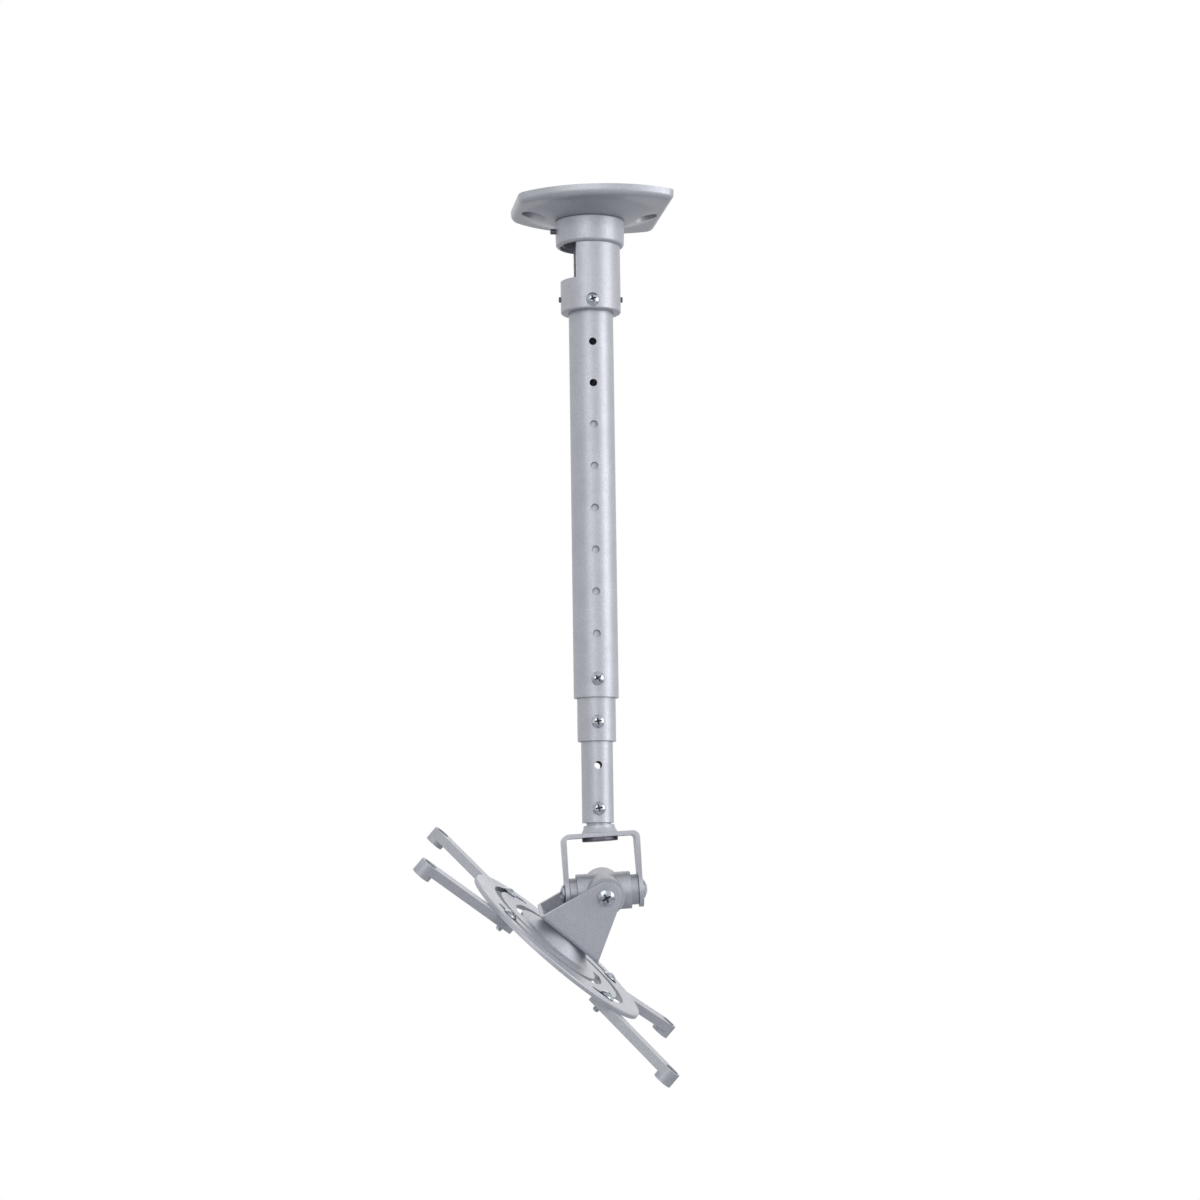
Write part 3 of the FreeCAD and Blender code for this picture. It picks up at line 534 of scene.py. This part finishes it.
for name, size, drop, length, turned_by in (
    ("outer_lock_screw", "outer", 345.8, 2.1, 35),
    ("middle_lock_screw", "middle", 376.0, 2.25, 10),
    ("foot_screw", "inner", FOOT_DROP, 6.65, 12),
):
    screw = cross_head_screw(*POLE_SCREW, length)
    where = POLE @ on_side((0, -TUBE_RADII[size], -drop), (0, -1, 0), turned_by)
    fitted(screw, name, where, bright_zinc, recess_shade_zinc)

# %% [markdown]
# ## Screws round the socket
# Four screws hold the socket on the pole. The front one shows its cross head and the two at the
# sides stand out as small dark stubs: they are headless set screws with a hexagon hole.

# %% Socket screws
SOCKET_RADIUS = 21.65

ring = []
for half_turn in (0, 180):
    screw = cross_head_screw(*POLE_SCREW, 7.65)
    screw.data.transform(turn(half_turn, "Z") @ on_side((0, -SOCKET_RADIUS, -74.6), (0, -1, 0), 20))
    ring.append(screw)
    stub = eased(rod(2.0, 16.2, 23.05, segments=32), 0.3, segments=1)
    combined(stub, [rod(1.15, 21.5, 24, segments=6)])
    stub.data.transform(turn(half_turn, "Z") @ on_side((0, 0, -70.4), (1, 0, 0), 0))
    for face in stub.data.polygons:
        face.material_index = 2
    ring.append(stub)
fitted(joined(*ring), "socket_screws", POLE, bright_zinc, recess_shade_zinc, phosphated)

# %% Pivot screws
PIVOT_SHANK = 2.95
BAIL_HALF_WIDTH = 27.4
BRACKET_HALF_DEPTH = 19.8
HEAD_ROOM = 0.05

for side, word in ((-1, "left"), (1, "right")):
    screw = cross_head_screw(6.5, 3.5, PIVOT_SHANK, 17.45)
    where = BLOCK @ on_side((side * (BAIL_HALF_WIDTH + HEAD_ROOM), 0, 0), (side, 0, 0), 30)
    fitted(screw, f"side_screw_{word}", where, bright_zinc, recess_shade_zinc)
for side, word in ((-1, "front"), (1, "rear")):
    screw = cross_head_screw(6.0, 3.0, PIVOT_SHANK, 11.55)
    where = BLOCK @ on_side((0, side * (BRACKET_HALF_DEPTH + HEAD_ROOM), 0), (0, side, 0), 25)
    fitted(screw, f"tilt_screw_{word}", where, bright_zinc, recess_shade_zinc)

# %% [markdown]
# ## Nuts and the arm screws
# Each arm hangs on a screw that goes down through the disc's slot and the arm into a hex nut, and its
# threaded end shows below. These heads are rounder, with a small cross. A thread is one ridge wound
# round the shank, so a small triangle is spun with a step down at every turn. Nuts have their corners
# turned off, which a cone cuts here.


# %% Nut and thread helpers
THREAD_STEPS = 24


def hex_nut(across, height, bore):
    """A nut from z = 0 up, chamfered on both faces."""
    nut = rod(across / math.sqrt(3), 0, height, segments=6)
    face = 0.47 * across
    cone_height = 0.78 * across + height
    cone_base = face + 2 * cone_height
    low = rod(face, 0, cone_height, end_radius=cone_base)
    high = rod(cone_base, height - cone_height, height, end_radius=face)
    combined(nut, [low, high], "INTERSECT")
    if bore:
        combined(nut, [rod(bore, -1, height + 1, segments=32)])
    return nut


def threaded_end(radius, pitch, bottom, top):
    """The ridge of a thread, wound down from top to bottom."""
    root = radius - 0.6 * pitch
    ridge = [(root, top), (radius, top - 0.35 * pitch), (root, top - 0.7 * pitch)]
    turns = (top - bottom) / pitch - 1
    steps = int(THREAD_STEPS * turns)
    return swept(ridge, math.tau * steps / THREAD_STEPS, steps, drop=pitch / THREAD_STEPS)


# %% Arm screws and nuts
ARM_SCREW_RADIUS = 2.5
THREAD_PITCH = 0.8

for index in range(ARM_COUNT):
    number = index + 1
    core = cross_head_screw(5.25, 3.0, 2.05, 13.3, upright=0.2, cross=0.38)
    shank = rod(ARM_SCREW_RADIUS, -5.4, 0, segments=32)
    screw = joined(core, shank, threaded_end(ARM_SCREW_RADIUS, THREAD_PITCH, -13.1, -5.2))
    where = carriage_frame(index) @ place(z=HEAD_ROOM) @ turn(ARM_DIRECTIONS[index] + 20, "Z")
    fitted(screw, f"arm_screw_{number}", where, bright_zinc, recess_shade_zinc)
    nut = hex_nut(8.0, 4.0, ARM_SCREW_RADIUS + 0.05)
    fitted(nut, f"arm_nut_{number}", arm_frame(index) @ place(z=-6.0), bright_zinc)

# %% Centre bolt and nut
CENTRE_RADIUS = 4.0
CENTRE_ACROSS = 13.0

head = hex_nut(CENTRE_ACROSS, 5.3, 0)
head.data.transform(place(z=11.6))
bolt = joined(head, eased(rod(CENTRE_RADIUS, -2.2, 11.7), 0.4))
fitted(bolt, "centre_bolt", DISC, bright_zinc)
nut = hex_nut(CENTRE_ACROSS, 4.5, CENTRE_RADIUS + 0.05)
fitted(nut, "centre_nut", DISC @ place(z=-0.85), bright_zinc)

# %% [markdown]
# ## The slotted disc
# The disc is pressed: its middle is raised into a flat-topped cone with a seat for the centre bolt's
# washer, and four slots curl out from it, so that every arm can be set nearer or farther. A turned
# blank makes the cone and the rim, and a square bar bent round the slot's own centre cuts each slot.
# The edges are a little rounded, because powder coat pulls back from a sharp edge.


# %% Disc
DISC_RADIUS = 75.05
BOSS_TOP = 9.05
WASHER_SEAT = 6.45


def slot_bar(quarter):
    """One slot's cutter, bent clockwise from the slot's inner end."""
    start = math.radians(SLOT_START)
    low, high = -6, 4
    inner = SLOT_RADIUS - SLOT_HALF_WIDTH
    outer = SLOT_RADIUS + SLOT_HALF_WIDTH
    corners = [(inner, low), (outer, low), (outer, high), (inner, high)]
    bar = swept(corners, -math.radians(SLOT_SWEEP), 60, start=start)
    bar.data.transform(place(*SLOT_CENTRE))
    ends = []
    for sweep in (0, SLOT_SWEEP):
        angle = start - math.radians(sweep)
        x = SLOT_CENTRE.x + SLOT_RADIUS * math.cos(angle)
        y = SLOT_CENTRE.y + SLOT_RADIUS * math.sin(angle)
        ends.append(rod(SLOT_HALF_WIDTH, low, high, at=(x, y, 0), segments=32))
    combined(bar, ends, "UNION")
    bar.data.transform(turn(90 * quarter, "Z"))
    return bar


disc = turned(
    [(4.1, WASHER_SEAT), (4.1, 3.7), (13.8, 3.7), (13.8, 6.25), (15.9, 6.25),
     (26.5, -DISC_SHEET), (DISC_RADIUS, -DISC_SHEET), (DISC_RADIUS, 0),
     (27, 0), (17, BOSS_TOP), (12.2, BOSS_TOP), (12.2, WASHER_SEAT)],
    160, {7: 1.2, 8: 3, 9: 3},
)
combined(disc, [slot_bar(quarter) for quarter in range(ARM_COUNT)])
eased(disc, 0.35, segments=2, angle=40)
fitted(disc, "spider_disc", DISC, silver_coat)

# %% [markdown]
# ## The arms
# Each arm is a cast bar, hollow underneath, with a deep cup at its tip that takes the projector's
# screw. The bar is the skin round two small rods at the tail and one at the round tip, the pocket is
# a smaller one, and wide rounded edges give it the soft look of a casting.


# %% Arms
ARM_LENGTH = 74
CUP_RADIUS = 6.8
CUP_BORE = 4.9


def arm_bar(half, start, end, bottom, top, corner):
    """A bar with a round tip and rounded corners at its tail, as the skin round three rods."""
    tail = [
        rod(corner, bottom, top, at=(start + corner, side * (half - corner), 0), segments=32)
        for side in (-1, 1)
    ]
    return wrapped(*tail, rod(half, bottom, top, at=(end, 0, 0)))


def cast_arm():
    """One arm under the disc, along +X from its screw."""
    tip = (ARM_LENGTH, 0, 0)
    bar = arm_bar(CUP_RADIUS, -6.7, ARM_LENGTH, -6.5, -0.05, 2.5)
    combined(bar, [rod(CUP_RADIUS, -10.5, -0.5, at=tip)], "UNION")
    combined(bar, [rod(CUP_BORE, -8.5, 1, at=tip)])
    pocket = arm_bar(CUP_BORE, -4.8, 62.3, -8, -1.95, 0.7)
    combined(bar, [pocket, rod(2.75, -12, 0, at=tip, segments=32)])
    combined(bar, [rod(2.58, -8, 1, segments=32)])
    return eased(bar, 0.7, segments=3, angle=40)


for index in range(ARM_COUNT):
    fitted(cast_arm(), f"arm_{index + 1}", arm_frame(index), cast_coat)

# %% [markdown]
# ## The tilt bracket and the bail
# Both are steel strip, cut to shape first and then folded. A folded strip is the difference of two
# boxes with rounded bends, and what it shares with a solid of the cut shape is the finished piece.
# The cut edges stay fairly crisp under the coat.


# %% Tilt bracket
BRACKET_SHEET = 2.5
BRACKET_HALF_WIDTH = 26.3
WEB_DROP = 40
PIVOT_BORE = 3.03


def rounded_box(low, high, axis, radius):
    """A box whose two lower or upper edges along an axis are rounded."""
    piece = box(low, high)
    shape = bmesh.new()
    shape.from_mesh(piece.data)
    level = (low[2] if radius > 0 else high[2]) * MM
    along = "XYZ".index(axis)
    bends = [
        edge for edge in shape.edges
        if all(abs(vertex.co.z - level) < 1e-6 for vertex in edge.verts)
        and abs(edge.verts[0].co[along] - edge.verts[1].co[along]) > 1e-6
    ]
    bmesh.ops.bevel(
        shape, geom=bends, offset=abs(radius) * MM, offset_type="OFFSET", segments=8,
        profile=0.5, affect="EDGES", material=-1,
    )
    shape.to_mesh(piece.data)
    shape.free()
    return piece


half, depth = BRACKET_HALF_WIDTH, BRACKET_HALF_DEPTH
folded = rounded_box((-half, -depth, -WEB_DROP), (half, depth, 11), "X", 3.0)
depth = BRACKET_HALF_DEPTH - BRACKET_SHEET
combined(folded, [rounded_box((-30, -depth, BRACKET_SHEET - WEB_DROP), (30, depth, 20), "X", 0.5)])
foot = box((-half, -25, -WEB_DROP - 1), (half, 25, -WEB_DROP))
cheek = wrapped(rod(11, -25, 25, "Y", segments=96), foot)
combined(folded, [cheek], "INTERSECT")
combined(folded, [rod(PIVOT_BORE, -25, 25, "Y"), rod(4.2, -45, -30)])
eased(folded, 0.35, segments=2, angle=40)
fitted(folded, "tilt_bracket", BRACKET, silver_coat)

# %% Bail
BAIL_SHEET = 3.0
BAIL_TOP = -17
EAR = 12.5

half = BAIL_HALF_WIDTH
strap = rounded_box((-half, -EAR, -83), (half, EAR, BAIL_TOP), "Y", -5.0)
half = BAIL_HALF_WIDTH - BAIL_SHEET
combined(strap, [rounded_box((-half, -15, -90), (half, 15, BAIL_TOP - BAIL_SHEET), "Y", -2.0)])
leg = wrapped(
    box((-30, -EAR, -25), (30, EAR, -16)),
    box((-30, -7.5, -53), (30, 7.5, -52.7)),
)
pivot = (0, 0, -PIVOT_DROP)
ear = wrapped(
    rod(EAR, -30, 30, "X", at=pivot, segments=96),
    box((-30, -EAR, -PIVOT_DROP), (30, EAR, -54.7)),
    box((-30, -10.5, -54.7), (30, 10.5, -52.7)),
)
combined(leg, [ear], "UNION")
combined(strap, [leg], "INTERSECT")
combined(strap, [rod(PIVOT_BORE, -30, 30, "X", at=pivot), rod(4.03, -25, -10)])
eased(strap, 0.4, segments=2, angle=40)
fitted(strap, "bail", HEAD, silver_coat)

# %% [markdown]
# ## The cross block
# The heart of the tilt is a casting: a barrel along the first axis and a hub across it. Two rods
# joined together make it, and a wide bevel also fills the hollow edge where they meet, as the mould's
# rounding does.

# %% Cross block and bushes
casting = rod(13.2, -19, 19, "X", segments=96)
combined(casting, [rod(13.6, -17.25, 17.25, "Y", segments=96)], "UNION")
eased(casting, 1.0, segments=4, angle=35)
fitted(casting, "cross_block", BLOCK, cast_coat)
for side, word in ((-1, "left"), (1, "right")):
    section = [(PIVOT_BORE, 19), (10.7, 19), (10.7, 24.35), (PIVOT_BORE, 24.35)]
    bush = turned(section, rounds={1: 0.3, 2: 0.6})
    where = BLOCK @ on_side((0, 0, 0), (side, 0, 0), 0)
    fitted(bush, f"side_bush_{word}", where, cast_coat)

# %% [markdown]
# ## The pole
# The three tubes slide into one another. They are cut from drawn tube, so their ends are square with
# a slight burr taken off, and the outer one has a row of eight holes that the clamping screw can use.
# The swivel plug in the last tube flares out like a bell over the bail.


# %% Tubes
def tube(radius, wall, top, bottom, holes, hole_radius=2.75):
    """A tube with a row of holes through both walls, from front to rear."""
    bore = radius - wall
    pipe = turned([(bore, -bottom), (radius, -bottom), (radius, -top), (bore, -top)], 128)
    if holes:
        drills = [
            rod(hole_radius, -radius - 2, radius + 2, "Y", at=(0, 0, -drop), segments=32)
            for drop in holes
        ]
        combined(pipe, drills)
    return eased(pipe, 0.25, segments=2, angle=40)


outer_holes = [104 + 30 * number for number in range(8)]
for size, wall, top, bottom, holes in (
    ("outer", 2.0, 60, 358.6, outer_holes),
    ("middle", 2.15, 149, 389.5, []),
    ("inner", 1.75, 207, 446.9, [406.5]),
):
    pipe = tube(TUBE_RADII[size], wall, top, bottom, holes)
    fitted(pipe, f"{size}_tube", POLE, silver_coat)

# %% Swivel plug and bolt
plug = turned(
    [(0, 10), (0, -4.5), (4, -4.5), (4, -17), (13, -17), (11, -13.4), (11, -11.5),
     (8.75, -11.5), (8.75, 10)],
    rounds={5: 6, 4: 0.3, 6: 0.5},
)
fitted(plug, "swivel_plug", HEAD, silver_coat)
bolt = turned(
    [(0, -22.8), (12.7, -22.8), (12.7, -20), (3.95, -20), (3.95, -5.5), (0, -5.5)],
    rounds={1: 0.5, 2: 0.3},
)
fitted(bolt, "swivel_bolt", HEAD, phosphated)

# %% [markdown]
# ## The socket and the collar
# The pole hangs in a turned socket whose side is cut away, so that the projector's cables can come
# out below the ceiling. The socket is bored wider above that window, which leaves a thin light lip
# round a dark inside. The collar above it carries the socket's flange on an inner lip.

# %% Socket and collar
PLATE_DEPTH = 13.1

socket = turned(
    [(14, -16.6), (SOCKET_RADIUS, -16.6), (SOCKET_RADIUS, -25.5), (22.85, -25.5), (22.85, -29),
     (SOCKET_RADIUS, -29), (SOCKET_RADIUS, -80.9), (16.05, -80.9), (16.05, -60), (14, -60)],
    128, {6: 1.5, 7: 0.4},
)
combined(socket, [box((-30, -30, -57.6), (-11, 30, -29.8)), rod(19.4, -29.9, -24.5, segments=96)])
eased(socket, 0.3, segments=2, angle=40)
fitted(socket, "pole_socket", POLE, silver_coat)
collar = turned(
    [(16, -8.7), (22, -8.7), (22, -10.5), (19, -10.5), (19, -PLATE_DEPTH), (25, -PLATE_DEPTH),
     (24.6, -32), (21.73, -32), (21.73, -29), (23.15, -29), (23.15, -15.6), (16, -15.6)],
    128, {5: 1.1, 6: 2.4},
)
fitted(collar, "swivel_collar", Matrix(), silver_coat)

# %% [markdown]
# ## The ceiling plate
# The plate is pressed from one sheet: straight sides, bowed front and rear, a rim turned up to the
# ceiling and a dome that comes down to the collar. Seen from above, each face of the sheet is a nest
# of rings: the outline, drawn further in with every step round the rim, and then plain circles down
# the dome. Rings with as many points each are easy to join with faces. The screw slots sit at the
# bottom of two round dimples, where a screw head can hide.

# %% Ceiling plate
PLATE_SHEET = 2.6
RIM_DEPTH = 7.6
RIM_ROUND = 4.5
SCREW_SLOT_X = 41
BOW = (11, -22, 83)
BOW_ENDS = (62.21, 137.63)
RIGHT_CORNER = (45.5, 43.47, 9)
LEFT_CORNER = (-38.5, 23.15, 16)


def outline(inset):
    """The plate's outline in plan, drawn in by inset, anticlockwise from its right side."""
    bow_start, bow_end = BOW_ENDS
    rear = [
        (*RIGHT_CORNER, 0, bow_start, 12),
        (*BOW, bow_start, bow_end, 64),
        (*LEFT_CORNER, bow_end, 180, 12),
    ]
    front = [
        (x, -y, radius, 360 - last, 360 - first, steps)
        for x, y, radius, first, last, steps in reversed(rear)
    ]
    points = []
    for x, y, radius, first, last, steps in rear + front:
        for step in range(steps + 1):
            angle = math.radians(first + (last - first) * step / steps)
            across = (radius - inset) * math.cos(angle)
            points.append(Vector((x + across, y + (radius - inset) * math.sin(angle))))
    filled = []
    for start, end in zip(points, points[1:] + points[:1]):
        pieces = max(1, round((end - start).length / 2.5))
        filled += [start.lerp(end, piece / pieces) for piece in range(pieces)]
    return filled


def softened(points, rounds, steps=8):
    """A section line of (radius, height) points with some corners rounded."""
    line = []
    for index, corner in enumerate(points):
        if index not in rounds:
            line.append(Vector(corner))
            continue
        here = Vector(corner)
        before = (Vector(points[index - 1]) - here).normalized()
        after = (Vector(points[index + 1]) - here).normalized()
        reach = rounds[index] / math.tan(before.angle(after) / 2)
        for step in range(steps + 1):
            share = step / steps
            line.append(here + before * reach * (1 - share) ** 2 + after * reach * share ** 2)
    return line


def face_rings(inset):
    """The rings of one face of the sheet, from the ceiling in to the collar's hole."""
    rings = [[(point.x, point.y, 0) for point in outline(inset)]]
    round_radius = RIM_ROUND - inset
    for step in range(7):
        angle = math.radians(15 * step)
        plan = outline(inset + round_radius * (1 - math.cos(angle)))
        height = RIM_ROUND - RIM_DEPTH - round_radius * math.sin(angle)
        rings.append([(point.x, point.y, height) for point in plan])
    draw = 0.185 * inset
    ledge = inset - RIM_DEPTH
    seat = inset - PLATE_DEPTH
    corners = [(49.9, ledge), (47.5 - draw, ledge), (29 - draw, seat), (19.08, seat)]
    directions = [point.normalized() for point in outline(0)]
    for radius, height in softened(corners, {1: 12 + inset, 2: 20 - inset}):
        rings.append([(point.x * radius, point.y * radius, height) for point in directions])
    return rings


def lofted(rings, closed):
    """Joins rings of points with faces, and then the last ring to the first, or puts two lids on."""
    shape = bmesh.new()
    loops = [[shape.verts.new(Vector(point) * MM) for point in ring] for ring in rings]
    joins = list(zip(loops, loops[1:]))
    if closed:
        joins.append((loops[-1], loops[0]))
    else:
        shape.faces.new(loops[0])
        shape.faces.new(loops[-1])
    for upper, lower in joins:
        for index in range(len(upper)):
            shape.faces.new((upper[index - 1], upper[index], lower[index], lower[index - 1]))
    return blank("lofted", shape)


def slot_drill(x):
    """The cutter of one screw slot, along X."""
    return wrapped(*[rod(3.2, -15, 1, at=(x + side * 2.3, 0, 0), segments=32) for side in (-1, 1)])


plate = lofted(face_rings(0) + list(reversed(face_rings(PLATE_SHEET))), closed=True)
for x in (-SCREW_SLOT_X, SCREW_SLOT_X):
    pad = rod(11.9, -PLATE_DEPTH, -0.01, at=(x, 0, 0), segments=64, end_radius=9.28)
    limit = lofted(face_rings(0), closed=False)
    limit.data.transform(place(z=0.05))
    combined(pad, [limit], "INTERSECT")
    combined(plate, [pad], "UNION")
    dimple = rod(9.5, -PLATE_DEPTH, -PLATE_SHEET, at=(x, 0, 0), segments=64, end_radius=7.4)
    combined(plate, [dimple, slot_drill(x)])
eased(plate, 0.4, segments=3, angle=35)
fitted(plate, "ceiling_plate", Matrix(), silver_coat)

# %% [markdown]
# ## A plain floor
# The floor of a room is about 2.4 m below its ceiling. It is painted a pale grey and takes the mount's
# soft shadow. The lamps hardly reach it, so a weak glow that only the camera and reflections see keeps
# it pale, while the light that it throws back on the mount is that of a darker floor. It reaches 6 m
# each way, so that its far edge stays below the picture.

# %% Floor
FLOOR_DROP = 2400
FLOOR_REACH = 6000


def background_mix(tree, seen, unseen):
    """Shows one shader to the camera and in reflections, and the other to the light."""
    path = add(tree, "ShaderNodeLightPath")
    shiny = add(
        tree, "ShaderNodeMath",
        {0: path.outputs["Is Glossy Ray"], 1: path.outputs["Is Transmission Ray"]},
        operation="MAXIMUM",
    )
    either = add(
        tree, "ShaderNodeMath",
        {0: path.outputs["Is Camera Ray"], 1: shiny.outputs["Value"]},
        operation="MAXIMUM",
    )
    return add(tree, "ShaderNodeMixShader", {"Fac": either.outputs["Value"], 1: unseen, 2: seen})


floor_mesh = bpy.data.meshes.new("floor")
shape = bmesh.new()
bmesh.ops.create_grid(shape, x_segments=1, y_segments=1, size=FLOOR_REACH * MM)
bmesh.ops.translate(shape, verts=shape.verts, vec=(0, 0, -FLOOR_DROP * MM))
shape.to_mesh(floor_mesh)
shape.free()
floor = bpy.data.objects.new("floor", floor_mesh)
bpy.context.scene.collection.objects.link(floor)

pale_floor, tree, output = new_material("pale floor paint")
paint = add(tree, "ShaderNodeBsdfDiffuse", Color=tone("#D8D8DA"))
glow = add(tree, "ShaderNodeEmission", Color=tone("#FFFFFF"), Strength=0.25)
seen = add(tree, "ShaderNodeAddShader", {0: paint.outputs["BSDF"], 1: glow.outputs["Emission"]})
unseen = add(tree, "ShaderNodeBsdfDiffuse", Color=tone("#6E6E72"))
mixed = background_mix(tree, seen.outputs["Shader"], unseen.outputs["BSDF"])
tree.links.new(mixed.outputs["Shader"], output.inputs["Surface"])
finish(floor, pale_floor)
print("floor at", -FLOOR_DROP, "mm")

# %% [markdown]
# ## Soft studio light
# The mount is lit by three large soft lamps: a strong one from the right, a weaker one from the front
# left and a faint one behind, so that the tubes are bright right of their middle. The underside gets
# only what the room sends back. The world is white where the camera or a reflection sees it, and half
# as bright where it lights the scene, so that the white backdrop adds no extra light.

# %% Lamps and world
world = bpy.data.worlds.new("white studio")
bpy.context.scene.world = world
world.use_nodes = True
tree = world.node_tree
tree.nodes.clear()
output = add(tree, "ShaderNodeOutputWorld")
seen = add(tree, "ShaderNodeBackground", Color=tone("#FFFFFF"), Strength=1.0)
unseen = add(tree, "ShaderNodeBackground", Color=tone("#F4F6FF"), Strength=0.5)
mixed = background_mix(tree, seen.outputs["Background"], unseen.outputs["Background"])
tree.links.new(mixed.outputs["Shader"], output.inputs["Surface"])


def softbox(name, position, target, size, power):
    """A square area lamp that faces a point, all in metres."""
    data = bpy.data.lights.new(name, "AREA")
    data.shape = "SQUARE"
    data.size = size
    data.energy = power
    lamp = bpy.data.objects.new(name, data)
    lamp.location = position
    lamp.rotation_euler = (Vector(target) - Vector(position)).to_track_quat("-Z", "Y").to_euler()
    bpy.context.scene.collection.objects.link(lamp)
    return lamp


MIDDLE = (0, 0, -0.35)
softbox("key lamp", (2.2, -1.4, 0.1), MIDDLE, 1.6, 27)
softbox("fill lamp", (-1.0, -2.3, 0.4), MIDDLE, 1.6, 14)
softbox("back lamp", (0.4, 2.2, 0.8), MIDDLE, 1.8, 6)

# %% [markdown]
# ## The camera
# The photograph was taken from two metres away with a long lens, a little below the middle of the
# mount and looking up at it, so that the plate's underside shows. A small roll leans the pole.

# %% Camera
LENS = 86.2
STAND = place(-279.6, -2015.5, -522.4)
HEADING, RISE, ROLL = -8, 6.56, -0.82

camera_data = bpy.data.cameras.new("camera")
camera_data.sensor_width = 36
camera_data.lens = LENS
camera = bpy.data.objects.new("camera", camera_data)
camera.matrix_world = STAND @ turn(HEADING, "Z") @ turn(90 + RISE, "X") @ turn(ROLL, "Z")
bpy.context.scene.collection.objects.link(camera)
bpy.context.scene.camera = camera
bpy.context.scene.view_settings.view_transform = "Standard"
print("camera at", camera.location)
